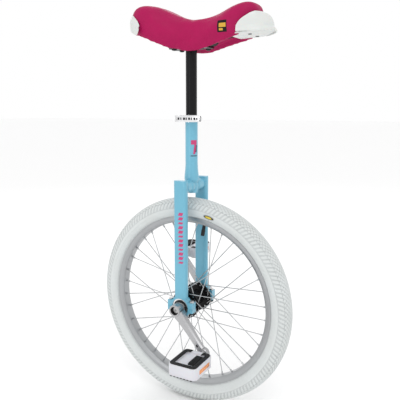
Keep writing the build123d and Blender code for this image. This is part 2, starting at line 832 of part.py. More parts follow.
def saddle_loft(shrink, bottom_of, top_of, end_shrink, rounded=True):
    """Loft a tapered section with a rounded top through the stations, with its own floor and ceiling at each."""
    sections = []
    last = len(saddle_stations) - 1
    for i, station in enumerate(saddle_stations):
        x = station[0]
        if i == 0:
            x += end_shrink
        if i == last:
            x -= end_shrink
        low = bottom_of(station)
        high = top_of(station)
        bottom = half_at(station, low) - shrink
        top = half_at(station, high) - shrink
        corner = saddle_corner_share * station[3] - shrink
        outline = [(-bottom, low), (bottom, low), (top, high), (-top, high)]
        section = make_face(Polyline(outline, close=True))
        if rounded and high - low > corner:
            section = fillet(section.vertices().group_by(Axis.Y)[-1], corner)
        plane = Plane(origin=(x, 0, 0), x_dir=(0, 1, 0), z_dir=(1, 0, 0))
        sections.append(plane * section)
    return loft(sections, ruled=True)


def skirt(station):
    return station[1]


def crest(station):
    return station[2]


def make_cover():
    t = cover_thickness
    outer = saddle_loft(0.0, skirt, crest, 0.0)
    inner = saddle_loft(t, lambda s: skirt(s) - 30, lambda s: crest(s) - t, t)
    return outer - inner


def make_base():
    inset = cover_thickness + soft_gap
    low = lambda s: skirt(s) + s[5]
    base = saddle_loft(inset, low, lambda s: low(s) + base_thickness, inset)
    pad_top = base_pad_z + stud_depth + 2.0
    half_x = plate_x / 2
    half_y = plate_y / 2
    base += block(-half_x, half_x, -half_y, half_y, base_pad_z, pad_top)
    for x, y in stud_places():
        base -= z_cylinder(m6_radius + seated, base_pad_z - 1, base_pad_z + stud_depth, x, y)
    for x, y, top in screw_places():
        base -= z_cylinder(screw_radius + seated, top - 40, top + 0.5, x, y)
    return base


def make_foam():
    inset = cover_thickness + soft_gap
    low = lambda s: skirt(s) + s[5] + base_thickness + soft_gap
    foam = saddle_loft(inset, low, lambda s: crest(s) - inset, inset)
    half_x = plate_x / 2 + soft_gap
    half_y = plate_y / 2 + soft_gap
    pad_top = base_pad_z + stud_depth + 2.0 + soft_gap
    return foam - block(-half_x, half_x, -half_y, half_y, base_pad_z - 20, pad_top)


def skirt_at(x):
    """Height of the skirt edge, read between two stations."""
    for left, right in zip(saddle_stations, saddle_stations[1:]):
        if left[0] <= x <= right[0]:
            share = (x - left[0]) / (right[0] - left[0])
            return left[1] + share * (right[1] - left[1])
    raise ValueError("x is off the saddle")


def screw_places():
    """Each bumper screw as x, y and the height of its point."""
    places = []
    for x in (rear_screw_x, front_screw_x):
        for y in (-screw_y, screw_y):
            places.append((x, y, boss_bottom(x) + screw_length - screw_head_height))
    return places


def boss_bottom(x):
    return skirt_at(x) - screw_boss_height


def grown_saddle():
    """The saddle with its clearance, filled in below, for cutting the bumpers."""
    return saddle_loft(-soft_gap, skirt, lambda s: crest(s) + soft_gap, -soft_gap)


def add_bosses(bumper, screw_x):
    for x, y, top in screw_places():
        if x != screw_x:
            continue
        low = boss_bottom(x)
        roof = skirt_at(x - screw_boss_radius * math.copysign(1, x)) - soft_gap
        bumper += z_cylinder(screw_boss_radius, low, roof, x, y)
    for x, y, top in screw_places():
        if x != screw_x:
            continue
        low = boss_bottom(x)
        bumper -= z_cylinder(screw_radius + 0.2, low - 1, low + 40, x, y)
    return bumper


def largest(shape):
    """The main solid of a shape."""
    return max(shape.solids(), key=lambda solid: solid.volume)


def bumper_blank(outline, end_reach):
    """The saddle grown by the bumper's wall, kept only inside a side outline."""
    width = 2 * max(s[3] for s in saddle_stations)
    side = polygon_xz(outline, -width, width)
    grown = saddle_loft(-bumper_wall, lambda s: skirt(s) - 60, lambda s: crest(s) + bumper_wall, -end_reach)
    return side & grown


def front_plan(inset):
    """The front bumper's outline from above, drawn in by so much, as a tall solid."""
    reach = front_bumper_reach - inset
    half = front_bumper_half_width - inset
    plan = Pos(front_bumper_round_x, 0) * Ellipse(reach, half)
    length = front_bumper_round_x - front_bumper_back_x
    plan += Pos(front_bumper_round_x - length / 2, 0) * Rectangle(length, 2 * half)
    return Pos(0, 0, front_lip_z - 60) * extrude(plan, amount=160)


def front_crown():
    """Rounded ceiling that the front bumper stays under."""
    half = front_bumper_half_width
    low = front_lip_z - 60
    height = front_bumper_top_z - low
    section = Pos(0, low + height / 2) * Rectangle(2 * half, height)
    section = fillet(section.vertices().group_by(Axis.Y)[-1], front_bumper_top_corner)
    plane = Plane(origin=(front_bumper_back_x - 20, 0, 0), x_dir=(0, 1, 0), z_dir=(1, 0, 0))
    return extrude(plane * section, amount=front_bumper_reach + 60)


def make_front_bumper():
    """Nose cap that reaches below the skirt as a hollow lip for the fingers."""
    back = front_bumper_back_x
    tip = front_bumper_round_x + front_bumper_reach
    lip = front_lip_z
    top = front_bumper_top_z
    side = polygon_xz([
        (back, lip), (back, top - 34), (back + 6, top - 22), (back + 17, top - 15), (back + 28, top - 6),
        (tip - 29, top), (tip - 21, top - 5), (tip - 13, top - 13), (tip - 6, top - 29), (tip, lip + 9),
        (tip - 1, lip + 5), (tip - 9, lip + 2),
    ], -60, 60)
    outer = side & front_plan(0.0) & front_crown()
    roof = soft_gap + bumper_floor
    under = saddle_loft(-soft_gap, lambda s: skirt(s) - 90, lambda s: skirt(s) - roof, -4.0, rounded=False)
    under &= block(back + 10, tip, -100, 100, 700, 1000)
    inner = front_hollow_x
    hollow = polygon_xz([
        (inner, 700), (inner, top - 10), (inner + 3, top - 12), (tip - 14, top - 22), (tip - 9, top - 33),
        (tip - 6, 700),
    ], -60, 60)
    bumper = outer - grown_saddle() - under - (hollow & front_plan(6.0))
    return add_bosses(largest(bumper), front_screw_x)


def make_rear_bumper():
    """Cap over the saddle's tail."""
    front = rear_bumper_front_x
    tail = saddle_stations[0]
    tip = tail[0] - rear_bumper_end
    low = skirt(tail)
    outer = bumper_blank([
        (front, low - 4), (front - 4, low - 14), (tip + 16, low - 6), (tip + 3, low + 2), (tip, low + 11),
        (tip + 1, low + 24), (tip + 6, low + 36), (tip + 12, low + 40), (front - 26, low + 33),
        (front - 10, low + 24), (front - 3, low + 17), (front, low + 8),
    ], rear_bumper_end)
    return add_bosses(largest(outer - grown_saddle()), rear_screw_x)


def make_bumper_screws():
    screws = []
    for x, y, top in screw_places():
        low = boss_bottom(x)
        head = z_cylinder(screw_head_radius, low - screw_head_height, low, x, y)
        screws.append(head + z_cylinder(screw_radius, low, top, x, y))
    return Compound(children=screws)


# ---------------------------------------------------------------- the assembly
def build_wheel():
    nodes["tyre"] = make_tyre()
    nodes["inner_tube"] = make_inner_tube()
    nodes["rim_tape"] = make_rim_tape()
    nodes["rim"] = make_rim()
    nodes["right_spokes"] = make_spokes(-1)
    nodes["left_spokes"] = make_spokes(1)
    nodes["spoke_nipples"] = make_nipples()
    nodes["hub_shell"] = make_hub_shell()
    nodes["axle"] = make_axle()
    nodes["axle_spacers"] = make_spacers()
    tip = rim_inner_radius - valve_length + 12
    cap_top = tip + valve_cap_length - 2
    nodes["valve_stem"] = radial_cylinder(valve_radius, tip, tube_centre_radius - casing_inner, valve_angle)
    cap = radial_cylinder(valve_cap_radius, tip - 2, cap_top, valve_angle)
    nodes["valve_cap"] = cap - radial_cylinder(valve_radius + seated, tip, cap_top + 1, valve_angle)


def build_bearings():
    nodes["bearing_outer_rings"] = make_outer_rings()
    nodes["bearing_inner_rings"] = make_inner_rings()
    nodes["bearing_seals"] = make_seals()
    for name, side in (("right", -1), ("left", 1)):
        nodes[name + "_bearing_balls"] = make_balls(side * bearing_y)
        nodes[name + "_bearing_cage"] = make_cage(side * bearing_y)


def build_drive():
    pieces = {
        "crank": make_crank(),
        "pedal_axle": make_pedal_axle(),
        "pedal_body": make_pedal_body(),
        "pedal_grips": make_pedal_grips(),
        "pedal_reflectors": make_pedal_reflectors(),
        "pedal_end_cap": make_pedal_cap(),
    }
    for name, shape in pieces.items():
        nodes["right_" + name] = shape
        nodes["left_" + name] = other_side(shape)
    nodes["crank_bolts"] = make_crank_bolts()


def build_frame():
    nodes["seat_tube"] = make_seat_tube()
    nodes["crown_tubes"] = make_crown_tubes()
    leg = make_leg()
    holder = make_holder(1)
    cap = make_holder(-1)
    for name, shape in (("fork_leg", leg), ("bearing_holder", holder), ("bearing_cap", cap)):
        nodes["right_" + name] = shape
        nodes["left_" + name] = mirrored(shape)
    nodes["leg_top_plates"] = make_leg_plates()
    nodes["bearing_cap_bolts"] = make_cap_bolts()
    nodes["bearing_cap_nuts"] = make_cap_nuts()
    nodes["seat_collar"] = make_collar()
    nodes["quick_release_skewer"] = make_skewer()
    nodes["quick_release_washer"] = make_cam_washer()
    nodes["quick_release_lever"] = make_lever()
    nodes["quick_release_nut"] = make_clamp_nut()


def build_seat():
    nodes["seat_post_end_plug"] = make_post_plug()
    nodes["seat_post"] = make_seat_post()
    nodes["seat_post_plate"] = make_post_plate()
    nodes["saddle_studs"] = make_studs()
    nodes["saddle_stud_nuts"] = make_stud_nuts()
    nodes["saddle_base"] = make_base()
    nodes["saddle_foam"] = make_foam()
    nodes["saddle_cover"] = make_cover()
    nodes["front_bumper"] = make_front_bumper()
    nodes["rear_bumper"] = make_rear_bumper()
    nodes["bumper_screws"] = make_bumper_screws()


build_wheel()
build_bearings()
build_drive()
build_frame()
build_seat()

os.makedirs("parts", exist_ok=True)
for node_name, node_shape in nodes.items():
    export_step(node_shape, "parts/" + node_name + ".step")
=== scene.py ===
"""Unicycle: the visible pieces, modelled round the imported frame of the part."""

import json
import math

import bmesh
import bpy
from bpy.props import FloatProperty, FloatVectorProperty, IntProperty, PointerProperty
from mathutils import Matrix, Vector

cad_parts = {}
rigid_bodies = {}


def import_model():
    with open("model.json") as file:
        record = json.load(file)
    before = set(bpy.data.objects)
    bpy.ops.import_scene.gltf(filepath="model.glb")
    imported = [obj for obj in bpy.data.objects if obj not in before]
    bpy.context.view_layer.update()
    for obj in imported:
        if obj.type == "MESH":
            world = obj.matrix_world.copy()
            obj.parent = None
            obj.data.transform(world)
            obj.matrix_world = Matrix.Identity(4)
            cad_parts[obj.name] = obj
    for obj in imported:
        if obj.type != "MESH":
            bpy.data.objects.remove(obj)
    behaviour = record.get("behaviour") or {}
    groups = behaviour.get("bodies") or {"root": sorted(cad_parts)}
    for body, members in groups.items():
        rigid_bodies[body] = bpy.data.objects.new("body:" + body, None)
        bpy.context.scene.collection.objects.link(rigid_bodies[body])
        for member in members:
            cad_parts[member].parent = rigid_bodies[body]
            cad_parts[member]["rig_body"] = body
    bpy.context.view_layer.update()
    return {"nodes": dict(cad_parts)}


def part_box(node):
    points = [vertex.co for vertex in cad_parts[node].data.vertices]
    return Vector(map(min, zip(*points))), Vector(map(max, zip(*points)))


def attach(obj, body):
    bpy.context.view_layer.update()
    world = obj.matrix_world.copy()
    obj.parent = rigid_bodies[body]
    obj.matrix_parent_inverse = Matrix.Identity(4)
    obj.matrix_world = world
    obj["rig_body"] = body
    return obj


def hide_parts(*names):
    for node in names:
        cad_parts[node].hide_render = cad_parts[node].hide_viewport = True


bl_info = {
    "name": "Unicycle",
    "version": (1, 0, 0),
    "blender": (4, 5, 0),
    "location": "View3D > Sidebar > Unicycle",
    "description": "Builds the visible pieces of a 20 inch unicycle round its frame",
    "category": "Add Mesh",
}

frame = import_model()
MM = 0.001


# ------------------------------------------------------------------ places read from the frame
def low_of(node):
    """Lowest corner of a frame node, in millimetres."""
    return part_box(node)[0] / MM


def high_of(node):
    """Highest corner of a frame node, in millimetres."""
    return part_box(node)[1] / MM


def centre_of(node):
    """Middle of a frame node's box, in millimetres."""
    return (low_of(node) + high_of(node)) / 2


AXLE_Z = centre_of("tyre").z
TYRE_RADIUS = (high_of("tyre").x - low_of("tyre").x) / 2
TYRE_HALF_WIDTH = (high_of("tyre").y - low_of("tyre").y) / 2
SECTION_CENTRE = TYRE_RADIUS - TYRE_HALF_WIDTH
RIM_RADIUS = (high_of("rim").x - low_of("rim").x) / 2
RIM_HALF_WIDTH = (high_of("rim").y - low_of("rim").y) / 2
AXLE = Vector((0, 0, AXLE_Z))


# ------------------------------------------------------------------ sizes and colours for the panel
class UnicycleSizes(bpy.types.PropertyGroup):
    """Sizes of the details that the frame leaves open."""

    lug_count: IntProperty(
        name="Tread pitches", description="Number of tread blocks round the tyre",
        default=152, min=60, max=240,
    )
    lug_height: FloatProperty(
        name="Tread height", description="Height of the tread blocks", default=0.0013, unit="LENGTH"
    )
    pad_voxel: FloatProperty(
        name="Saddle voxel", description="Voxel size of the saddle's padding", default=0.004, unit="LENGTH"
    )
    pad_swell: FloatProperty(
        name="Saddle swell", description="Furthest that the padding may swell", default=0.004, unit="LENGTH"
    )
    edge_round: FloatProperty(
        name="Edge rounding", description="Rounding of machined edges", default=0.0006, unit="LENGTH"
    )


def colour_property(name, description, default):
    """Colour property for the panel."""
    return FloatVectorProperty(name=name, description=description, subtype="COLOR", default=default)


class UnicycleColours(bpy.types.PropertyGroup):
    """Colours of the finishes."""

    frame_blue: colour_property("Frame paint", "Light blue paint of the fork and tube", (0.145, 0.43, 0.575))
    saddle_pink: colour_property("Saddle skin", "Magenta skin of the saddle", (0.37, 0.005, 0.078))
    tyre_white: colour_property("Tyre rubber", "Near-white rubber of the tyre", (0.66, 0.69, 0.69))
    rim_grey: colour_property("Rim alloy", "Satin grey of the rim", (0.40, 0.41, 0.42))
    crank_grey: colour_property("Crank alloy", "Satin silver of the cranks", (0.46, 0.46, 0.47))
    bumper_white: colour_property("Bumpers", "White moulded plastic of the bumpers", (0.66, 0.68, 0.66))
    pedal_white: colour_property("Pedals", "White moulded plastic of the pedals", (0.66, 0.66, 0.70))
    reflector_amber: colour_property("Reflectors", "Amber of the pedal reflectors", (0.85, 0.26, 0.04))
    motif_pink: colour_property("Motifs", "Pink of the printed motifs", (0.55, 0.03, 0.16))
    badge_gold: colour_property("Badge", "Gold of the plain saddle badge", (0.62, 0.36, 0.05))


def sizes():
    """The sizes set in the panel."""
    return bpy.context.scene.unicycle_sizes


def colours():
    """The colours set in the panel."""
    return bpy.context.scene.unicycle_colours


# ------------------------------------------------------------------ materials
class Finish:
    """A procedural material that is built up one effect at a time."""

    def __init__(self, name, colour, roughness, metallic=0.0, **sockets):
        self.material = bpy.data.materials.new(name)
        self.material.use_nodes = True
        self.tree = self.material.node_tree
        self.shader = self.tree.nodes["Principled BSDF"]
        self.colour = tuple(colour)[:3] + (1.0,)
        self.roughness = roughness
        self.shader.inputs["Base Color"].default_value = self.colour
        self.shader.inputs["Roughness"].default_value = roughness
        self.shader.inputs["Metallic"].default_value = metallic
        for socket, value in sockets.items():
            self.shader.inputs[socket.replace("_", " ")].default_value = value
        self.place = self.tree.nodes.new("ShaderNodeTexCoord")
        self.height = None

    def link(self, source, target):
        """Join two sockets."""
        self.tree.links.new(source, target)

    def coordinates(self, location=(0, 0, 0), scale=(1, 1, 1)):
        """Object coordinates, moved and stretched."""
        mapping = self.tree.nodes.new("ShaderNodeMapping")
        mapping.inputs["Location"].default_value = location
        mapping.inputs["Scale"].default_value = scale
        self.link(self.place.outputs["Object"], mapping.inputs["Vector"])
        return mapping.outputs["Vector"]

    def noise(self, scale, detail=3.0, vector=None, roughness=0.5):
        """Cloudy noise."""
        node = self.tree.nodes.new("ShaderNodeTexNoise")
        node.inputs["Scale"].default_value = scale
        node.inputs["Detail"].default_value = detail
        node.inputs["Roughness"].default_value = roughness
        self.link(vector or self.place.outputs["Object"], node.inputs["Vector"])
        return node.outputs["Fac"]

    def cells(self, scale, feature="F1", vector=None):
        """Cell pattern."""
        node = self.tree.nodes.new("ShaderNodeTexVoronoi")
        node.feature = feature
        node.inputs["Scale"].default_value = scale
        self.link(vector or self.place.outputs["Object"], node.inputs["Vector"])
        return node.outputs["Distance"]

    def remap(self, value, low, high, from_low=0.3, from_high=0.7):
        """Stretch a value to a new range."""
        node = self.tree.nodes.new("ShaderNodeMapRange")
        node.inputs["From Min"].default_value = from_low
        node.inputs["From Max"].default_value = from_high
        node.inputs["To Min"].default_value = low
        node.inputs["To Max"].default_value = high
        self.link(value, node.inputs["Value"])
        return node.outputs["Result"]

    def tint(self, value, other, share=1.0):
        """Blend the colour so far towards another one where value is high."""
        node = self.tree.nodes.new("ShaderNodeMix")
        node.data_type = "RGBA"
        socket = self.shader.inputs["Base Color"]
        if socket.is_linked:
            self.link(socket.links[0].from_socket, node.inputs["A"])
        else:
            node.inputs["A"].default_value = self.colour
        node.inputs["B"].default_value = tuple(other)[:3] + (1.0,)
        self.link(self.remap(value, 0.0, share), node.inputs["Factor"])
        self.link(node.outputs["Result"], socket)
        return self

    def shade(self, value, factor, share=1.0):
        """Darken or lighten the base colour where value is high."""
        return self.tint(value, [min(1.0, c * factor) for c in self.colour[:3]], share)

    def polish(self, value, spread):
        """Vary the roughness either side of its base value."""
        low = max(0.02, self.roughness - spread)
        self.link(self.remap(value, low, self.roughness + spread), self.shader.inputs["Roughness"])
        return self

    def bump(self, value, distance, strength=1.0):
        """Add relief; later reliefs stack on earlier ones."""
        node = self.tree.nodes.new("ShaderNodeBump")
        node.inputs["Distance"].default_value = distance
        node.inputs["Strength"].default_value = strength
        self.link(value, node.inputs["Height"])
        if self.height is not None:
            self.link(self.height, node.inputs["Normal"])
        self.height = node.outputs["Normal"]
        self.link(self.height, self.shader.inputs["Normal"])
        return self

    def patch(self, middle, half):
        """One inside a box given in millimetres, nought outside it."""
        scale = [1 / (side * MM) for side in half]
        place = [-where * MM * factor for where, factor in zip(middle, scale)]
        size = self.tree.nodes.new("ShaderNodeVectorMath")
        size.operation = "ABSOLUTE"
        self.link(self.coordinates(place, scale), size.inputs[0])
        split = self.tree.nodes.new("ShaderNodeSeparateXYZ")
        self.link(size.outputs["Vector"], split.inputs["Vector"])
        largest = split.outputs["X"]
        for other in (split.outputs["Y"], split.outputs["Z"]):
            node = self.tree.nodes.new("ShaderNodeMath")
            node.operation = "MAXIMUM"
            self.link(largest, node.inputs[0])
            self.link(other, node.inputs[1])
            largest = node.outputs["Value"]
        return self.remap(largest, 1.0, 0.0, 0.97, 1.0)

    def radius(self):
        """Distance from the wheel's axle, for marks left by turning."""
        centred = self.coordinates((0, 0, -AXLE_Z * MM), (1, 0, 1))
        node = self.tree.nodes.new("ShaderNodeVectorMath")
        node.operation = "LENGTH"
        self.link(centred, node.inputs[0])
        return node.outputs["Value"]


def gloss_paint(name, colour, coat=0.5, shine=0.4):
    """Sprayed gloss paint: a clear coat over colour, with faint orange peel."""
    finish = Finish(name, colour, 0.34, Coat_Weight=coat, Coat_Roughness=0.08, Specular_IOR_Level=shine)
    finish.shade(finish.noise(9.0, 2.0), 0.86, 0.5)
    finish.shade(finish.noise(140.0, 2.0), 1.10, 0.25)
    finish.polish(finish.noise(60.0), 0.05)
    return finish.bump(finish.noise(420.0, 1.0), 0.00012, 0.25).material


def brushed_alloy(name, colour, roughness=0.34):
    """Satin aluminium with fine grain and dull patches."""
    finish = Finish(name, colour, roughness, 1.0)
    grain = finish.noise(900.0, 2.0, finish.coordinates())
    finish.shade(finish.noise(25.0), 0.85, 0.6)
    finish.polish(grain, 0.09)
    return finish.bump(grain, 0.00008, 0.3).material


def turned_steel(name, colour, roughness=0.3):
    """Plated steel with faint blotches."""
    finish = Finish(name, colour, roughness, 1.0)
    finish.shade(finish.noise(60.0, 4.0), 0.75, 0.7)
    finish.polish(finish.noise(180.0), 0.10)
    return finish.bump(finish.noise(1500.0, 2.0), 0.00004, 0.3).material


def moulded_plastic(name, colour, roughness=0.35):
    """Injection-moulded plastic with a very fine spark-eroded texture."""
    finish = Finish(name, colour, roughness, Subsurface_Weight=0.05, Subsurface_Scale=0.004)
    finish.shade(finish.noise(18.0), 0.93, 0.6)
    finish.polish(finish.noise(120.0), 0.07)
    finish.bump(finish.noise(1400.0, 2.0), 0.00006, 0.4)
    return finish.bump(finish.noise(35.0, 1.0), 0.0004, 0.12).material


def rubber(name, colour, roughness=0.62):
    """Dull rubber with dust in its pores."""
    finish = Finish(name, colour, roughness, Specular_IOR_Level=0.3)
    finish.tint(finish.noise(30.0, 5.0), [c * 0.8 + 0.012 for c in colour[:3]], 0.5)
    finish.polish(finish.noise(90.0), 0.12)
    return finish.bump(finish.noise(900.0, 3.0), 0.0001, 0.6).material


def tyre_rubber():
    """White tyre compound: slightly chalky, greyer in the mould lines."""
    base = colours().tyre_white
    finish = Finish("tyre_rubber", base, 0.58)
    finish.tint(finish.noise(14.0, 4.0), (0.60, 0.62, 0.60), 0.55)
    finish.shade(finish.noise(220.0, 4.0), 0.88, 0.45)
    finish.polish(finish.noise(70.0), 0.10)
    return finish.bump(finish.noise(1100.0, 3.0), 0.00012, 0.5).material


def tyre_groove_painted_shade():
    """The casing between the blocks, darkened as painted shade in the gaps between them."""
    # painted shade: the casing colour is a darker copy of the tyre white, standing in for the shade between
    # the tread blocks
    finish = Finish("tyre_groove_painted_shade", [c * 0.84 for c in colours().tyre_white], 0.7)
    finish.shade(finish.noise(120.0, 4.0), 0.8, 0.6)
    return finish.bump(finish.noise(800.0, 3.0), 0.00015, 0.6).material


def saddle_skin():
    """Soft vinyl with fine pebble grain."""
    finish = Finish("saddle_skin", colours().saddle_pink, 0.5, Specular_IOR_Level=0.15)
    finish.shade(finish.noise(10.0, 3.0), 1.25, 0.35)
    finish.shade(finish.noise(45.0, 4.0), 0.88, 0.45)
    finish.tint(finish.patch((97.5, -44.0, 879.0), (11.0, 14.0, 12.0)), (0.01, 0.008, 0.008))
    finish.tint(finish.patch((98.5, -44.0, 881.0), (8.0, 14.0, 4.2)), colours().badge_gold)
    finish.tint(finish.patch((95.0, -44.0, 872.5), (4.5, 14.0, 2.2)), colours().badge_gold)
    finish.polish(finish.noise(80.0), 0.06)
    finish.bump(finish.cells(900.0), 0.00012, 0.35)
    return finish.bump(finish.noise(60.0, 3.0), 0.0004, 0.10).material


def rim_alloy():
    """Anodised rim with the fine rings that turning leaves."""
    finish = Finish("rim_alloy", colours().rim_grey, 0.40, 0.85)
    node = finish.tree.nodes.new("ShaderNodeTexWave")
    node.wave_type = "BANDS"
    node.inputs["Scale"].default_value = 900.0
    node.inputs["Distortion"].default_value = 1.5
    combine = finish.tree.nodes.new("ShaderNodeCombineXYZ")
    finish.link(finish.radius(), combine.inputs["X"])
    finish.link(combine.outputs["Vector"], node.inputs["Vector"])
    finish.polish(node.outputs["Fac"], 0.05)
    finish.shade(finish.noise(20.0), 0.88, 0.5)
    return finish.bump(node.outputs["Fac"], 0.00003, 0.25).material


def reflector_plastic():
    """Amber reflector with rows of small prisms under a smooth face."""
    amber = colours().reflector_amber
    finish = Finish("reflector_plastic", amber, 0.16, Coat_Weight=0.8, Coat_Roughness=0.04)
    prisms = finish.cells(420.0, vector=finish.coordinates())
    finish.shade(prisms, 0.55, 0.8)
    finish.shade(finish.noise(300.0), 1.3, 0.4)
    return finish.bump(prisms, 0.0006, 0.6).material


def print_ink_and_shade(name, colour):
    """Printed ink on paint; also the black painted shade in the crank recesses."""
    finish = Finish(name, colour, 0.4, Coat_Weight=0.3, Coat_Roughness=0.1)
    finish.shade(finish.noise(300.0, 3.0), 0.85, 0.5)
    return finish.bump(finish.noise(1800.0, 1.0), 0.00003, 0.3).material


# ------------------------------------------------------------------ modelling helpers
def lathe(profile, origin, along="Y", steps=64, closed=False):
    """Spin a profile of (radius, distance along) round an axis through origin."""
    bm = bmesh.new()
    axis = Vector((0, 1, 0)) if along == "Y" else Vector((0, 0, 1))
    across = Vector((1, 0, 0))
    verts = [bm.verts.new(origin + across * r + axis * a) for r, a in profile]
    edges = [bm.edges.new(pair) for pair in zip(verts, verts[1:])]
    if closed:
        edges.append(bm.edges.new((verts[-1], verts[0])))
    bmesh.ops.spin(
        bm, geom=verts + edges, cent=origin, axis=axis, angle=2 * math.pi, steps=steps, use_merge=True
    )
    bmesh.ops.remove_doubles(bm, verts=bm.verts, dist=1e-4)
    return bm


def arc(centre_a, centre_b, radius, start, end, count):
    """Points on an arc in a plane, with angles in degrees."""
    points = []
    for i in range(count + 1):
        angle = math.radians(start + (end - start) * i / count)
        points.append((centre_a + radius * math.cos(angle), centre_b + radius * math.sin(angle)))
    return points


def between(x, table):
    """Read a table of (x, value) pairs at x."""
    if x <= table[0][0]:
        return table[0][1]
    for first, second in zip(table, table[1:]):
        if x <= second[0]:
            share = (x - first[0]) / (second[0] - first[0])
            return first[1] + share * (second[1] - first[1])
    return table[-1][1]


def extruded(outline, plane, low, high):
    """A closed outline drawn in a plane ('XZ', 'XY' or 'YZ'), extruded from low to high."""
    bm = bmesh.new()
    spots = {
        "XZ": lambda a, b, c: Vector((a, c, b)),
        "XY": lambda a, b, c: Vector((a, b, c)),
        "YZ": lambda a, b, c: Vector((c, a, b)),
    }
    spot = spots[plane]
    face = bm.faces.new([bm.verts.new(spot(a, b, low)) for a, b in outline])
    grown = bmesh.ops.extrude_face_region(bm, geom=[face])
    moved = [v for v in grown["geom"] if isinstance(v, bmesh.types.BMVert)]
    bmesh.ops.translate(bm, verts=moved, vec=spot(0, 0, high - low))
    return bm


def block(low, high):
    """Box between two corners."""
    bm = bmesh.new()
    bmesh.ops.create_cube(bm, size=1.0)
    bmesh.ops.scale(bm, verts=bm.verts, vec=[abs(h - l) for l, h in zip(low, high)])
    bmesh.ops.translate(bm, verts=bm.verts, vec=(Vector(low) + Vector(high)) / 2)
    return bm


def rod(start, end, radius, segments=24):
    """Solid round bar between two points."""
    bm = bmesh.new()
    path = Vector(end) - Vector(start)
    turn = path.to_track_quat("Z", "Y").to_matrix().to_4x4()
    place = Matrix.Translation((Vector(start) + Vector(end)) / 2) @ turn
    bmesh.ops.create_cone(
        bm, cap_ends=True, segments=segments, radius1=radius, radius2=radius,
        depth=path.length, matrix=place,
    )
    return bm


def round_edges(bm, width, segments=2, angle=30.0):
    """Bevel every edge sharper than an angle."""
    bmesh.ops.recalc_face_normals(bm, faces=bm.faces)
    limit = math.radians(angle)
    sharp = [e for e in bm.edges if e.is_manifold and e.calc_face_angle(0.0) > limit]
    bmesh.ops.bevel(
        bm, geom=sharp, offset=width, segments=segments, profile=0.5, affect="EDGES",
        material=-1, clamp_overlap=True,
    )
    return bm


def joined(*parts):
    """One bmesh that holds all the parts, which are used up."""
    whole = bmesh.new()
    for part in parts:
        scratch = bpy.data.meshes.new("scratch")
        part.to_mesh(scratch)
        part.free()
        whole.from_mesh(scratch)
        bpy.data.meshes.remove(scratch)
    return whole


def moved(bm, offset):
    """Shift everything by an offset."""
    bmesh.ops.translate(bm, verts=bm.verts, vec=offset)
    return bm


def turned(bm, angle, centre=None):
    """Turn everything about an axis along Y through a point; degrees, positive from +X to +Z."""
    matrix = Matrix.Rotation(math.radians(-angle), 4, "Y")
    bmesh.ops.rotate(bm, verts=bm.verts, cent=centre or AXLE, matrix=matrix)
    return bm


def frame_copy(node):
    """A frame node's mesh in millimetres, with its loose triangles joined up."""
    bm = bmesh.new()
    bm.from_mesh(frame["nodes"][node].data)
    bmesh.ops.scale(bm, verts=bm.verts, vec=(1 / MM,) * 3)
    bmesh.ops.remove_doubles(bm, verts=bm.verts, dist=0.002)
    bmesh.ops.dissolve_limit(bm, angle_limit=math.radians(0.5), verts=bm.verts, edges=bm.edges)
    return bm


def place_piece(name, bm, body, materials, replaces=(), sharp_angle=35.0):
    """Make the object, scaled to metres, and tie it to its body."""
    bmesh.ops.recalc_face_normals(bm, faces=bm.faces)
    bmesh.ops.scale(bm, verts=bm.verts, vec=(MM, MM, MM))
    limit = math.radians(sharp_angle)
    for face in bm.faces:
        face.smooth = True
    for edge in bm.edges:
        edge.smooth = edge.calc_face_angle(0.0) < limit
    mesh = bpy.data.meshes.new(name)
    bm.to_mesh(mesh)
    bm.free()
    for material in materials if isinstance(materials, (list, tuple)) else [materials]:
        mesh.materials.append(material)
    piece = bpy.data.objects.new(name, mesh)
    bpy.context.scene.collection.objects.link(piece)
    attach(piece, body)
    if replaces:
        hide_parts(*replaces)
    return piece


def add_subdivision(piece, levels):
    """Round the piece with a subdivision modifier."""
    modifier = piece.modifiers.new("smooth", "SUBSURF")
    modifier.levels = levels
    modifier.render_levels = levels


def dress(nodes, material):
    """Give frame nodes that stay visible their material."""
    for node in nodes:
        mesh = frame["nodes"][node].data
        mesh.materials.clear()
        mesh.materials.append(material)


def rounded_node(node, body, material, width=None):
    """Stand-in for a frame node whose only change is rounded edges."""
    bm = frame_copy(node)
    round_edges(bm, width or sizes().edge_round / MM)
    return place_piece(node + "_finished", bm, body, material, [node])


def body_of(node):
    """Name of the body that a frame node rides."""
    return frame["nodes"][node]["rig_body"]


# ------------------------------------------------------------------ tyre
def wrap_on_tyre(bm):
    """Bend a flat pattern of (along the tread, angle round the section, height) onto the tyre."""
    for vert in bm.verts:
        along, section, height = vert.co
        angle = along / TYRE_RADIUS
        section = math.radians(section)
        radius = SECTION_CENTRE + height * math.cos(section)
        spot = (radius * math.cos(angle), height * math.sin(section), AXLE_Z + radius * math.sin(angle))
        vert.co = spot


def side_lug(side, base, top, width):
    """Slanted block that runs from the tread down the shoulder."""
    bm = block((-width / 2, 52, base), (width / 2, 86, top))
    long_edges = [e for e in bm.edges if abs(e.verts[0].co.y - e.verts[1].co.y) > 20]
    bmesh.ops.subdivide_edges(bm, edges=long_edges, cuts=4)
    for vert in bm.verts:
        share = (vert.co.y - 52) / 34
        taper = 1.0 - 0.30 * share
        if vert.co.z > (base + top) / 2:
            taper -= 0.12
            vert.co.z -= 0.5 * share * share
            vert.co.y += 1.5 if share < 0.1 else (-3.0 if share > 0.9 else 0.0)
        vert.co.x = vert.co.x * taper + side * (3.4 - 7.5 * share)
        vert.co.y *= side
    return bm


def diamond(along, section, base, top, length, width, lean):
    """Small four-sided block of the centre tread."""
    bm = bmesh.new()
    bmesh.ops.create_cone(
        bm, cap_ends=True, segments=4, radius1=0.97, radius2=0.86, depth=top - base,
        matrix=Matrix.Translation((0, 0, (top + base) / 2)),
    )
    for vert in bm.verts:
        x = vert.co.x * length / 2
        y = vert.co.y * width / 2
        vert.co.x = along + x + lean * y
        vert.co.y = section + y
    return bm


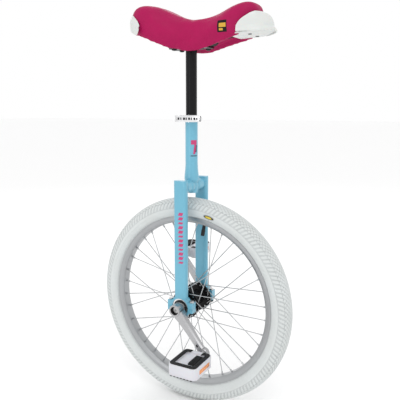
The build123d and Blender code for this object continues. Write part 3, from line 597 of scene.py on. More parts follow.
def make_tyre():
    """Casing, tread blocks, lugs, sidewall ribs and the plain oval label."""
    pitch = 2 * math.pi * TYRE_RADIUS / sizes().lug_count
    top = TYRE_HALF_WIDTH - 0.05
    base = top - sizes().lug_height / MM
    sunk = base - 0.7
    outer = arc(SECTION_CENTRE, 0, base, -139, 139, 40)
    bead = [(RIM_RADIUS - 3.0, 13.2), (RIM_RADIUS - 3.0, 10.2)]
    inner = arc(SECTION_CENTRE, 0, base - 3.0, 135, -135, 24)
    profile = outer + bead + inner + [(r, -y) for r, y in reversed(bead)]
    casing = lathe(profile, AXLE, steps=180, closed=True)
    # the casing's faces take the second finish, darker as painted shade between the tread blocks
    for face in casing.faces:
        face.material_index = 1
    ribs = []
    for section in (104, 127):
        for side in (-1, 1):
            middle = math.radians(section)
            spot = (SECTION_CENTRE + base * math.cos(middle), side * base * math.sin(middle))
            ribs.append(lathe(arc(*spot, 0.55, 0, 360, 8)[:-1], AXLE, steps=180, closed=True))
    sidewall = []
    for side in (-1, 1):
        low = arc(SECTION_CENTRE, 0, base + 0.25, side * 88, side * 134, 14)
        back = arc(SECTION_CENTRE, 0, base - 0.6, side * 134, side * 88, 14)
        sidewall.append(lathe(low + back, AXLE, steps=180, closed=True))
    unit = [side_lug(side, sunk, top - 0.2, pitch * 0.74) for side in (-1, 1)]
    row = 9.0
    for number in range(-5, 6):
        along = pitch / 2 if number % 2 else 0.0
        unit.append(diamond(along, number * row, sunk, top, pitch * 1.0, row * 2.0, 0.0))
    tread = joined(*unit)
    wrap_on_tyre(tread)
    count = sizes().lug_count
    bmesh.ops.spin(
        tread, geom=tread.verts[:] + tread.edges[:] + tread.faces[:], cent=AXLE, axis=(0, 1, 0),
        angle=2 * math.pi * (count - 1) / count, steps=count - 1, use_duplicate=True,
    )
    whole = joined(casing, tread, *ribs, *sidewall)
    mark = math.radians(75)
    spot = AXLE + Vector((221 * math.cos(mark), -TYRE_HALF_WIDTH, 221 * math.sin(mark)))
    black = print_ink_and_shade("label_black", (0.012, 0.012, 0.012))
    gold = print_ink_and_shade("label_yellow", (0.65, 0.50, 0.03))
    labels = (("tyre_label", 1.0, 0.0, black), ("tyre_label_fill", 0.66, 0.25, gold))
    for name, size, lift, material in labels:
        disc = rod((0, 0.5, 0), (0, -0.3 - lift, 0), 1.0, 28)
        bmesh.ops.scale(disc, verts=disc.verts, vec=(13.0 * size, 1.0, 3.6 * size))
        disc = moved(turned(disc, -15, Vector((0, 0, 0))), spot)
        place_piece(name, disc, "wheel", material)
    place_piece(
        "tyre_with_tread", whole, "wheel", [tyre_rubber(), tyre_groove_painted_shade()], ["tyre"], 50
    )


# ------------------------------------------------------------------ rim, spokes, hub
def make_rim():
    """Rim turned from one profile."""
    depth = RIM_RADIUS - 194.5
    half = RIM_HALF_WIDTH
    floor = RIM_RADIUS - depth
    profile = [
        (RIM_RADIUS, -half + 0.4), (RIM_RADIUS - 0.4, -half), (RIM_RADIUS - 7.5, -half),
        (RIM_RADIUS - 9.0, -half + 0.6),
        (floor + 1.2, -11.9), (floor + 0.3, -11.0), (floor, -9.6), (floor, 0.0), (floor, 9.6),
        (floor + 0.3, 11.0), (floor + 1.2, 11.9), (RIM_RADIUS - 9.0, half - 0.6),
        (RIM_RADIUS - 7.5, half), (RIM_RADIUS - 0.4, half),
        (RIM_RADIUS, half - 0.4), (RIM_RADIUS, half - 1.6), (RIM_RADIUS - 0.4, half - 2.0),
        (RIM_RADIUS - 6, half - 2.0), (RIM_RADIUS - 7.0, half - 5), (RIM_RADIUS - 7.0, 5 - half),
        (RIM_RADIUS - 6, 2.0 - half), (RIM_RADIUS - 0.4, 2.0 - half), (RIM_RADIUS, 1.6 - half),
    ]
    rim = lathe(profile, AXLE, steps=180, closed=True)
    place_piece("rim_turned", rim, "wheel", rim_alloy(), ["rim"], 40)


def make_hub():
    """Hub shell turned from one profile."""
    black = gloss_paint("hub_paint", (0.006, 0.006, 0.007), 0.05, 0.15)
    end = high_of("hub_shell").y
    profile = [
        (10.2, -end), (14.6, -end), (15.2, -end + 0.6), (15.6, -33.2), (17.5, -31.9), (34.4, -31.5),
        (35.0, -31.0), (35.0, -29.0), (34.4, -28.5), (22.0, -28.3), (18.5, -27.0), (17.0, -24.0),
        (16.6, -8.0), (16.6, 8.0), (17.0, 24.0), (18.5, 27.0), (22.0, 28.3), (34.4, 28.5), (35.0, 29.0),
        (35.0, 31.0), (34.4, 31.5), (17.5, 31.9), (15.6, 33.2), (15.2, end - 0.6), (14.6, end), (10.2, end),
    ]
    hub = lathe(profile, AXLE, steps=72, closed=True)
    place_piece("hub_turned", hub, "wheel", black, ["hub_shell"])


def make_spokes():
    """Steel of the spokes and nipples."""
    steel = turned_steel("spoke_steel", (0.52, 0.53, 0.54), 0.34)
    dress(["right_spokes", "left_spokes", "spoke_nipples"], steel)


# ------------------------------------------------------------------ saddle
# Stations along the saddle, in millimetres:
# x, skirt edge, crest, skirt half width, shoulder half width, underside
SADDLE_STATIONS = (
    (-134.0, 893.0, 909.0, 17.0, 19.0, 896.0),
    (-131.5, 886.0, 918.0, 33.0, 37.0, 890.0),
    (-126.0, 880.0, 926.0, 45.0, 51.0, 885.0),
    (-116.0, 875.5, 934.5, 54.0, 61.0, 881.0),
    (-98.0, 871.5, 939.0, 60.0, 68.0, 877.0),
    (-76.0, 861.5, 933.5, 56.5, 65.0, 869.0),
    (-52.0, 850.0, 922.0, 49.0, 57.5, 859.0),
    (-25.0, 842.0, 909.0, 41.0, 50.0, 852.0),
    (3.0, 839.0, 899.5, 34.0, 45.0, 848.5),
    (30.0, 839.0, 896.5, 31.5, 43.0, 848.0),
    (58.0, 845.5, 899.5, 32.5, 43.0, 852.0),
    (86.0, 853.0, 908.0, 35.0, 45.0, 857.0),
    (112.0, 859.0, 919.0, 39.0, 47.5, 863.0),
    (132.0, 864.5, 926.0, 42.0, 46.0, 869.0),
    (147.0, 869.5, 929.0, 39.0, 40.5, 874.0),
    (158.0, 874.0, 926.5, 32.0, 32.0, 879.0),
    (165.0, 879.0, 918.5, 23.0, 22.5, 884.0),
    (168.0, 885.0, 908.0, 12.0, 12.0, 889.0),
)
LIP = 8.0
SWELL_ROOM = 0.5               # the form starts this much smaller, so that it swells to size
SWELL_DROP = 3.4               # remeshing and smoothing draw the skirt edge up by this much
SKIRT_DROP = 2.6               # smoothing draws the edge back up by this much


def half_section(station):
    """Right half of the saddle's outline at a station, from the middle underneath to the middle on top."""
    x, skirt, crest, low_half, high_half, under = station
    skirt -= SKIRT_DROP
    under = min(underside(x, under), crest - 6.0)
    rise = crest - skirt
    lip = min(LIP, low_half * 0.4)
    return [
        (0.0, under), ((low_half - lip) * 0.55, under), (low_half - lip - 1.0, under - 0.4),
        (low_half - lip, skirt + (under - skirt) * 0.35), (low_half - lip * 0.6, skirt),
        (low_half - lip * 0.15, skirt + 0.2), (low_half + 0.3, skirt + rise * 0.06),
        (low_half + (high_half - low_half) * 0.45, skirt + rise * 0.24),
        (low_half + (high_half - low_half) * 0.85, skirt + rise * 0.46),
        (high_half, skirt + rise * 0.64), (high_half * 0.965, skirt + rise * 0.80),
        (high_half * 0.86, crest - rise * 0.085), (high_half * 0.68, crest - rise * 0.022),
        (high_half * 0.40, crest - rise * 0.002), (0.0, crest),
    ]


def section_loop(bm, x, half):
    """Edge loop of a whole section from its right half."""
    points = [(y, z) for y, z in half] + [(-y, z) for y, z in half[-2:0:-1]]
    verts = [bm.verts.new((x, y, z)) for y, z in points]
    return [bm.edges.new((verts[i], verts[(i + 1) % len(verts)])) for i in range(len(verts))]


def saddle_form(shrink=0.0):
    """Closed form of the padded saddle."""
    bm = bmesh.new()
    loops = []
    for station in SADDLE_STATIONS:
        x, skirt, crest, low_half, high_half, under = station
        edge = skirt - SWELL_DROP
        half = half_section((x, edge, crest - shrink, low_half - shrink, high_half - shrink, under))
        loops.append(section_loop(bm, x, half))
    for first, second in zip(loops, loops[1:]):
        bmesh.ops.bridge_loops(bm, edges=first + second)
    for loop in (loops[0], loops[-1]):
        bmesh.ops.contextual_create(bm, geom=loop)
    return bm


def swell(piece):
    """Blow the padding up gently in its skin, then keep it within its allowance."""
    remesh = piece.modifiers.new("remesh", "REMESH")
    remesh.mode = "VOXEL"
    remesh.voxel_size = sizes().pad_voxel
    apply_modifiers(piece)
    rest = [v.co.copy() for v in piece.data.vertices]
    cloth = piece.modifiers.new("cloth", "CLOTH")
    cloth.settings.use_pressure = True
    cloth.settings.uniform_pressure_force = 4.0
    cloth.settings.effector_weights.gravity = 0.0
    cloth.settings.tension_stiffness = 25.0
    cloth.settings.compression_stiffness = 25.0
    cloth.point_cache.frame_start = 1
    cloth.point_cache.frame_end = 20
    for number in range(1, 21):
        bpy.context.scene.frame_set(number)
    apply_modifiers(piece)
    bpy.context.scene.frame_set(1)
    cap = sizes().pad_swell
    for vert, start in zip(piece.data.vertices, rest):
        move = vert.co - start
        if move.length > cap:
            vert.co = start + move * (cap / move.length)


def apply_modifiers(piece):
    """Bake the modifiers into the mesh."""
    graph = bpy.context.evaluated_depsgraph_get()
    baked = bpy.data.meshes.new_from_object(piece.evaluated_get(graph))
    old = piece.data
    piece.modifiers.clear()
    piece.data = baked
    bpy.data.meshes.remove(old)


def make_saddle():
    """Padded cushion, swollen with cloth."""
    skin = saddle_skin()
    form = saddle_form(SWELL_ROOM)
    cushion = place_piece(
        "saddle_cushion", form, "seat", skin, ["saddle_cover", "saddle_foam"], 75
    )
    add_subdivision(cushion, 2)
    apply_modifiers(cushion)
    swell(cushion)
    smooth = cushion.modifiers.new("even", "SMOOTH")
    smooth.factor = 0.5
    smooth.iterations = 5
    apply_modifiers(cushion)
    add_subdivision(cushion, 1)
    for face in cushion.data.polygons:
        face.use_smooth = True


def underside(x, height):
    """Height of the saddle's underside: it is let in deeper away from the post's plate."""
    share = min(1.0, max(0.0, (abs(x) - 48.0) / 25.0))
    return height + 8.0 * share * share * (3 - 2 * share)


def station_value(x, column):
    """One column of the saddle's stations, read at x."""
    return between(x, [(station[0], station[column]) for station in SADDLE_STATIONS])


def make_saddle_base():
    """Black carrier plate, let into the hollow between the skirts."""
    bm = bmesh.new()
    bmesh.ops.create_grid(bm, x_segments=30, y_segments=10, size=0.5)
    for vert in bm.verts:
        x = -120.0 + (vert.co.x + 0.5) * 272.0
        half = max(4.0, station_value(x, 3) - LIP - 2.0)
        across = 2 * vert.co.y
        vert.co = (x, across * half, underside(x, station_value(x, 5)) - 2.6 + 1.4 * across * across)
    bmesh.ops.recalc_face_normals(bm, faces=bm.faces)
    bmesh.ops.solidify(bm, geom=bm.faces[:], thickness=2.4)
    plastic = rubber("base_plastic", (0.012, 0.009, 0.010), 0.7)
    place_piece("saddle_base_plate", bm, "seat", plastic, ["saddle_base"], 50)
    screws = []
    for x, low in ((-120.0, 880.0), (150.0, 861.5)):
        for side in (-1, 1):
            head = rod((x, side * 20, low), (x, side * 20, low + 2.5), 4.0, 20)
            shank = rod((x, side * 20, low + 2.4), (x, side * 20, low + 9), 2.0, 12)
            screws += [round_edges(head, 0.6), shank]
    for x in (-34, 34):
        for side in (-1, 1):
            nut = rod((x, side * 17, 839.0), (x, side * 17, 842.0), 5.6, 6)
            stud = rod((x, side * 17, 838.4), (x, side * 17, 848.5), 3.0, 20)
            screws += [round_edges(nut, 0.4), stud]
    dark = turned_steel("screw_steel", (0.07, 0.07, 0.07), 0.4)
    fixings = ["bumper_screws", "saddle_studs", "saddle_stud_nuts"]
    place_piece("saddle_fixings", joined(*screws), "seat", dark, fixings)


# ------------------------------------------------------------------ bumpers
def band(spot, around, up, thickness):
    """Shell swept from a grid: spot(t, u) gives each point, t round the saddle's end and u up its wall."""
    bm = bmesh.new()
    bmesh.ops.create_grid(bm, x_segments=around, y_segments=up, size=0.5)
    for vert in bm.verts:
        vert.co = spot(vert.co.x + 0.5, vert.co.y + 0.5)
    bmesh.ops.recalc_face_normals(bm, faces=bm.faces)
    bmesh.ops.solidify(bm, geom=bm.faces[:], thickness=thickness)
    return bm


def plan_point(t, centre_x, reach, half, back_x):
    """Point and outward direction on a bumper's plan: straight sides, then half an ellipse."""
    straight = abs(centre_x - back_x)
    sign = 1 if reach > 0 else -1
    quarter = 0.5 * math.pi * (abs(reach) + half) / 2
    along = (1 - abs(2 * t - 1)) * (straight + quarter)
    side = -1 if t < 0.5 else 1
    if along < straight:
        return Vector((back_x + sign * along, side * half, 0)), Vector((0, side, 0))
    angle = min(1.0, (along - straight) / quarter) * math.pi / 2
    spot = Vector((centre_x + reach * math.sin(angle), side * half * math.cos(angle), 0))
    outward = Vector((math.sin(angle) / reach, side * math.cos(angle) / half, 0)).normalized()
    return spot, outward


FRONT_TOP = ((131, 878), (133, 882), (137, 887), (144, 892), (152, 896.5), (160, 901), (170, 905), (199, 907))
FRONT_DRAW_IN = ((131, 3.0), (142, 3.5), (160, 7.0), (175, 13.0), (188, 22.0), (196, 28.0), (199, 31.0))


def front_bumper_point(t, u):
    """Point on the front bumper: a flared lip, then a dome."""
    spot, outward = plan_point(t, 142.0, 57.0, 51.5, 131.0)
    lip = between(spot.x, ((131, 866.0), (165, 865.5), (199, 868.5)))
    neck = min(6.0, 1.5 + (spot.x - 131.0) * 0.09)
    if u < 0.3:
        share = u / 0.3
        inward = neck * share * share
        height = lip + 10.0 * share
    else:
        share = (u - 0.3) / 0.7
        rise = between(spot.x, FRONT_TOP) - lip - 10.0
        inward = neck + (between(spot.x, FRONT_DRAW_IN) - neck) * (1 - math.cos(share * math.pi / 2))
        height = lip + 10.0 + rise * math.sin(share * math.pi / 2)
    return spot - outward * inward + Vector((0, 0, height))


REAR_TOP = ((-141, 920), (-130, 919), (-118, 914), (-108, 908), (-101, 902), (-97, 897), (-94, 889))
REAR_BOTTOM = ((-141, 891), (-132, 887), (-120, 879.5), (-108, 873.5), (-101, 870.5), (-97, 872), (-94, 881))


def rear_bumper_point(t, u):
    """Point on the rear bumper."""
    spot, outward = plan_point(t, -96.0, -45.0, 68.0, -94.0)
    low = between(spot.x, REAR_BOTTOM)
    high = between(spot.x, REAR_TOP)
    depth = between(spot.x, ((-141, 7.5), (-120, 4.0), (-94, 1.5)))
    bulge = 4 * (u - 0.42) ** 2 if u > 0.42 else 1.6 * (0.42 - u) ** 2
    return spot - outward * depth * bulge + Vector((0, 0, low + (high - low) * u))


def bumper_floor():
    """Moulded floor under the nose, dished between the lips."""
    bm = bmesh.new()
    bmesh.ops.create_grid(bm, x_segments=14, y_segments=12, size=0.5)
    for vert in bm.verts:
        x = 112.0 + (vert.co.x + 0.5) * 80.0
        reach = max(0.0, (x - 142.0) / 52.0)
        half = between(x, ((112, 33.0), (131, 45.0), (142, 47.0))) * math.sqrt(max(0.03, 1 - reach * reach))
        y = vert.co.y * 2 * half
        edge = (2 * vert.co.y) ** 4
        z = between(x, ((112, 861.0), (131, 863.5), (160, 865.0), (178, 869.0), (192, 873.0)))
        vert.co = (x, y, z + 2.0 * edge)
    bmesh.ops.recalc_face_normals(bm, faces=bm.faces)
    bmesh.ops.solidify(bm, geom=bm.faces[:], thickness=2.0)
    return bm


def bumper_tails():
    """Thin flanges that run back along the skirt edges."""
    tails = []
    for side in (-1, 1):
        path = [(100, 31.0, 858.5), (108, 33.5, 860.5), (119, 37.5, 863.2), (134, 43.0, 866.0)]
        for first, second in zip(path, path[1:]):
            start = (first[0], side * first[1], first[2])
            end = (second[0], side * second[1], second[2])
            tails.append(rod(start, end, 1.4, 12))
    return joined(*tails)


def make_bumpers():
    """Front and rear bumper mouldings."""
    white = moulded_plastic("bumper_plastic", colours().bumper_white)
    front = joined(band(front_bumper_point, 48, 16, 3.0), bumper_floor(), bumper_tails())
    place_piece("front_bumper_moulding", front, "seat", white, ["front_bumper"], 50)
    rear = band(rear_bumper_point, 40, 12, 3.0)
    place_piece("rear_bumper_moulding", rear, "seat", white, ["rear_bumper"], 50)


# ------------------------------------------------------------------ frame
CROWN_Z = 534.0
LEG_SIDE_Y = 58.0              # outer side of a leg
SEAT_TUBE_RADIUS = 14.3
PRINT_DEPTH = 0.25             # a printed bar reaches this far into and out of the leg
BAR_COUNT = 12                 # printed bars down a leg
BAR_PITCH = 10.3
FIRST_BAR_Z = 362.0


def make_fork():
    """Blue paint, and the weld beads at the crown and legs."""
    blue = gloss_paint("frame_paint", colours().frame_blue)
    nodes = ["seat_tube", "crown_tubes", "right_fork_leg", "left_fork_leg", "leg_top_plates"]
    nodes += ["right_bearing_holder", "left_bearing_holder", "right_bearing_cap", "left_bearing_cap"]
    dress(nodes, blue)
    flare = [
        (13.9, 584), (14.5, 582), (14.9, 574), (15.7, 565),
        (16.6, 557), (17.0, 550), (16.0, 544), (13.9, 542),
    ]
    welds = [lathe(flare, Vector((0, 0, 0)), "Z", 48, closed=True)]
    crown = Vector((0, 0, CROWN_Z))
    for side in (-1, 1):
        welds.append(lathe(arc(14.3, side * 41.2, 1.7, 0, 360, 10)[:-1], crown, "Y", 48, closed=True))
        neck = [(13.6, side * 22), (14.4, side * 21), (15.2, side * 17), (15.6, side * 12), (13.6, side * 9)]
        welds.append(lathe(neck, crown, "Y", 48, closed=True))
        for edge in (-1, 1):
            start = (edge * 15.0, side * 50 - 7, 274)
            welds.append(rod(start, (edge * 15.0, side * 50 + 7, 274), 2.0, 12))
    place_piece("fork_welds", joined(*welds), "frame", blue, (), 60)


def slanted_bar(x, y, z, width, height, lean):
    """Thin printed bar on a leg's flat side, centred at (x, z)."""
    outline = [(-width / 2 - lean, -height / 2), (width / 2 - lean, -height / 2)]
    outline += [(width / 2 + lean, height / 2), (-width / 2 + lean, height / 2)]
    return extruded([(x + a, z + b) for a, b in outline], "XZ", y - PRINT_DEPTH, y + PRINT_DEPTH)


def tube_patch(low_angle, high_angle, low, high, lean=0.0):
    """Thin printed patch wrapped on the seat tube; angles in degrees from +X."""
    bm = bmesh.new()
    bmesh.ops.create_grid(bm, x_segments=10, y_segments=6, size=0.5)
    reach = SEAT_TUBE_RADIUS + 0.2
    for vert in bm.verts:
        up = vert.co.y + 0.5
        angle = math.radians(low_angle + (high_angle - low_angle) * (vert.co.x + 0.5) + lean * up)
        vert.co = (reach * math.cos(angle), reach * math.sin(angle), low + (high - low) * up)
    bmesh.ops.recalc_face_normals(bm, faces=bm.faces)
    bmesh.ops.solidify(bm, geom=bm.faces[:], thickness=0.3)
    return bm


def make_motifs():
    """Plain printed bars in place of lettering."""
    pink = print_ink_and_shade("motif_pink", colours().motif_pink)
    dark = print_ink_and_shade("motif_dark", (0.02, 0.025, 0.05))
    bars = []
    for side in (-1, 1):
        for number in range(BAR_COUNT):
            tall = 7.0 if number % 3 else 4.5
            z = FIRST_BAR_Z + number * BAR_PITCH
            bars.append(slanted_bar(3.5, side * LEG_SIDE_Y, z, 11.0, tall, 1.6))
    bars.append(tube_patch(-66, -8, 630, 640, 0))
    bars.append(tube_patch(-46, -28, 608, 630, 12))
    place_piece("pink_motifs", joined(*bars), "frame", pink)
    lines = joined(tube_patch(-70, -4, 603, 605), tube_patch(-24, -8, 612, 629, 4))
    place_piece("dark_motifs", lines, "frame", dark)


# ------------------------------------------------------------------ seat clamp
def make_clamp():
    """Collar, lever, nut and washer, with plain marks on the lever."""
    polished = brushed_alloy("clamp_alloy", (0.80, 0.80, 0.81), 0.22)
    dress(["seat_collar", "quick_release_nut"], polished)
    rounded_node("quick_release_lever", "quick_release_lever", polished, 1.0)
    washer = moulded_plastic("cam_washer_plastic", (0.10, 0.055, 0.03), 0.5)
    dress(["quick_release_washer"], washer)
    low, high = low_of("quick_release_lever"), high_of("quick_release_lever")
    middle = (low.z + high.z) / 2
    marks = []
    for number, width in enumerate((4.0, 2.4, 5.2, 3.0, 4.6, 2.6, 5.0, 3.4)):
        x = low.x + 11.0 + number * 6.8
        marks.append(block((x, low.y - 0.15, middle - 2.6), (x + width, low.y + 0.8, middle + 2.6)))
    marks.append(block((high.x - 4.2, low.y - 0.2, low.z + 1.6), (high.x - 1.6, low.y + 1.0, high.z - 1.6)))
    dark = rubber("clamp_marks", (0.008, 0.008, 0.009), 0.8)
    place_piece("lever_marks", joined(*marks), "quick_release_lever", dark)


# ------------------------------------------------------------------ cranks
CRANK_ANGLE = -47.5
CRANK_LENGTH = 114.0
# Along the arm: distance from the axle, half width, inner face, outer face
ARM_SECTIONS = (
    (10.6, 12.4, -63.0, -83.4),
    (26.0, 10.0, -67.0, -84.3),
    (60.0, 8.7, -72.0, -85.7),
    (92.0, 8.2, -77.0, -88.6),
    (CRANK_LENGTH - 8.0, 9.0, -79.0, -90.4),
)


def right_crank(angle):
    """The right crank, drawn along +X and then turned."""
    boss = lathe(
        [(4.2, -61), (13.2, -61), (14, -61.8), (14, -83.2), (13.2, -84.5), (10.4, -84.5),
         (9.8, -83.9), (9.8, -77.5), (9.2, -77.5), (9.2, -73.6), (4.2, -73.6)], AXLE, "Y", 48, closed=True,
    )
    for face in boss.faces:
        # the pocket wall round the bolt takes the black second finish, as painted shade in the recess
        spot = face.calc_center_median() - AXLE
        if math.hypot(spot.x, spot.z) < 9.9 and spot.y < -73.0:
            face.material_index = 1
    eye_centre = AXLE + Vector((CRANK_LENGTH, 0, 0))
    eye = lathe(
        [(6.2, -78.2), (11.6, -78.2), (12.4, -79.2), (12.4, -89.6), (11.4, -90.9), (8.0, -90.9),
         (7.2, -90.0), (6.2, -90)],
        eye_centre, "Y", 40, closed=True,
    )
    bm = bmesh.new()
    rings = []
    for x, half, back, front in ARM_SECTIONS:
        cut = min(3.2, half * 0.4)
        outline = [
            (half - 1.0, back), (half, back - 1.0), (half, front + cut), (half - cut, front), (0.5, front),
            (-half + cut * 0.6, front), (-half, front + cut * 0.6), (-half, back - 1.0), (-half + 1.0, back),
        ]
        verts = [bm.verts.new(AXLE + Vector((x, y, z))) for z, y in outline]
        rings.append([bm.edges.new((verts[i], verts[(i + 1) % len(verts)])) for i in range(len(verts))])
    for first, second in zip(rings, rings[1:]):
        bmesh.ops.bridge_loops(bm, edges=first + second)
    for ring in (rings[0], rings[-1]):
        bmesh.ops.contextual_create(bm, geom=ring)
    notch = block((CRANK_LENGTH - 24.0, -89.3, -3.0), (CRANK_LENGTH - 18.0, -86.0, 1.0))
    notch = moved(notch, AXLE)
    # black notch block set into the outer face: painted shade of a notch near the crank end
    for face in notch.faces:
        face.material_index = 1
    whole = joined(boss, eye, bm, notch)
    turned(whole, angle)
    return whole


def make_cranks():
    """Right crank and, turned half a turn, the left one."""
    alloy = brushed_alloy("crank_alloy", colours().crank_grey, 0.3)
    # black second finish: painted shade in the boss pocket and the notch
    black = print_ink_and_shade("crank_recess_painted_shade", (0.012, 0.012, 0.013))
    finishes = [alloy, black]
    right = right_crank(CRANK_ANGLE)
    place_piece("right_crank_forged", right, "wheel", finishes, ["right_crank"], 28)
    left = right_crank(CRANK_ANGLE)
    bmesh.ops.rotate(left, verts=left.verts, cent=AXLE, matrix=Matrix.Rotation(math.pi, 4, "Z"))
    turned(left, 2 * CRANK_ANGLE)
    place_piece("left_crank_forged", left, "wheel", finishes, ["left_crank"], 28)


# ------------------------------------------------------------------ pedals
def pedal_border(low, high):
    """C-shaped tread that runs round the pedal and stops either side of the crank end."""
    outer = [(-14, 38)] + arc(-23, 29, 9, 90, 180, 5) + arc(-23, -29, 9, 180, 270, 5)
    outer += arc(23, -29, 9, 270, 360, 5) + arc(23, 29, 9, 0, 90, 5) + [(12, 38)]
    inner = [(12, 25), (15, 25), (15, 28)] + arc(19, 25, 3, 90, 0, 3) + arc(19, -25, 3, 0, -90, 3)
    inner += arc(-19, -25, 3, 270, 180, 3) + arc(-19, 25, 3, 180, 90, 3) + [(-14, 28)]
    return extruded(outer + inner, "XY", low, high)


def pedal_pieces(pedal, body_name, place, half_turn, white, black, amber):
    """Body, tread and reflectors of one pedal, drawn about its middle."""
    corners = arc(-23, 29, 11, 90, 180, 6) + arc(-23, -29, 11, 180, 270, 6)
    corners += arc(23, -29, 11, 270, 360, 6) + arc(23, 29, 11, 0, 90, 6)
    shell = extruded(corners, "XY", -12.6, 12.6)
    bmesh.ops.recalc_face_normals(shell, faces=shell.faces)
    for sign in (-1, 1):
        cap = [f for f in shell.faces if f.normal.z * sign > 0.9 and len(f.verts) > 8]
        bmesh.ops.inset_region(shell, faces=cap, thickness=10.5, use_even_offset=True)
        inner = [f for f in shell.faces if f.normal.z * sign > 0.9 and f in cap]
        grown = bmesh.ops.extrude_face_region(shell, geom=inner)
        verts = [v for v in grown["geom"] if isinstance(v, bmesh.types.BMVert)]
        bmesh.ops.translate(shell, verts=verts, vec=(0, 0, -sign * 3.4))
        bmesh.ops.delete(shell, geom=inner, context="FACES_ONLY")
    round_edges(shell, 0.9)
    parts = [shell]
    for sign in (-1, 1):
        parts.append(round_edges(block((sign * 33.0, -25, -7.5), (sign * 34.5, 25, 7.5)), 0.5))
    tread = []
    for sign in (-1, 1):
        low, high = sorted((sign * 12.4, sign * 14.3))
        tread.append(round_edges(pedal_border(low, high), 0.6, 2))
        low, high = sorted((sign * 9, sign * 12.6))
        tread.append(round_edges(block((4.5, -19, low), (21.5, 19, high)), 0.6))
        low, high = sorted((sign * 12, sign * 14.2))
        for rib in range(8):
            v = -16.6 + rib * 4.7
            tread.append(block((5.3, v, low), (20.7, v + 2.4, high)))
        studs = [(side * 27.0, v) for side in (-1, 1) for v in range(-28, 30, 7)]
        studs += [(u, -33.0) for u in range(-21, 22, 7)] + [(-19.0, 33.0), (19.0, 33.0)]
        low, high = sorted((sign * 14, sign * 15))
        for u, v in studs:
            stud = block((u - 2, v - 2, low), (u + 2, v + 2, high))
            tread.append(round_edges(stud, 0.35, 1))
    for step in range(-3, 4):
        tread.append(block((step * 8.0 - 1.9, -40.6, -13.6), (step * 8.0 + 1.9, -38.0, -12.2)))
    glass = [round_edges(block((sign * 34.2, -22, -4.6), (sign * 35.2, 22, 4.6)), 0.4) for sign in (-1, 1)]
    for name, pieces, material, slot, old in (
        ("_moulded", parts, white, "pedal_plastic", ["_body", "_end_cap"]),
        ("_tread_rubber", tread, black, "grip_rubber", ["_grips"]),
        ("_reflector_glass", glass, amber, "reflector_amber", ["_reflectors"]),
    ):
        bm = joined(*pieces)
        if half_turn:
            bmesh.ops.rotate(bm, verts=bm.verts, cent=(0, 0, 0), matrix=Matrix.Rotation(math.pi, 4, "Z"))
        moved(bm, place)
        place_piece(pedal + name, bm, body_name, material, [pedal + end for end in old])


def make_pedals():
    """Both pedals."""
    white = moulded_plastic("pedal_plastic", colours().pedal_white)
    black = rubber("grip_rubber", (0.014, 0.014, 0.015), 0.7)
    amber = reflector_plastic()
    for side in ("right", "left"):
        pedal = side + "_pedal"
        body = pedal + "_body"
        pedal_pieces(pedal, body_of(body), centre_of(body), side == "left", white, black, amber)


# ------------------------------------------------------------------ small pieces
def make_hardware():
    """Materials of the small metal and rubber pieces."""
    steel = turned_steel("plated_steel", (0.60, 0.60, 0.60))
    dress(["bearing_cap_bolts", "crank_bolts", "quick_release_skewer"], steel)
    dress(["axle", "axle_spacers", "right_pedal_axle", "left_pedal_axle"], steel)
    dark = turned_steel("dark_steel", (0.07, 0.07, 0.07), 0.4)
    dress(["bearing_cap_nuts", "seat_post_plate"], dark)
    chrome = turned_steel("bearing_steel", (0.75, 0.75, 0.75), 0.14)
    dress(["bearing_outer_rings", "bearing_inner_rings", "right_bearing_balls", "left_bearing_balls"], chrome)
    dress(["right_bearing_cage", "left_bearing_cage"], steel)
    black = rubber("seal_rubber", (0.012, 0.012, 0.012))
    dress(["bearing_seals", "inner_tube", "rim_tape", "seat_post_end_plug"], black)
    dress(["valve_stem", "valve_cap"], black)
    dress(["seat_post"], gloss_paint("post_paint", (0.006, 0.006, 0.007), 0.05, 0.15))


# ------------------------------------------------------------------ stage
CAMERA_SPOT = (0.5889, -1.0509, 0.7102)
CAMERA_YAW = 28.34
CAMERA_PITCH = -9.94
CAMERA_LENS = 46.78


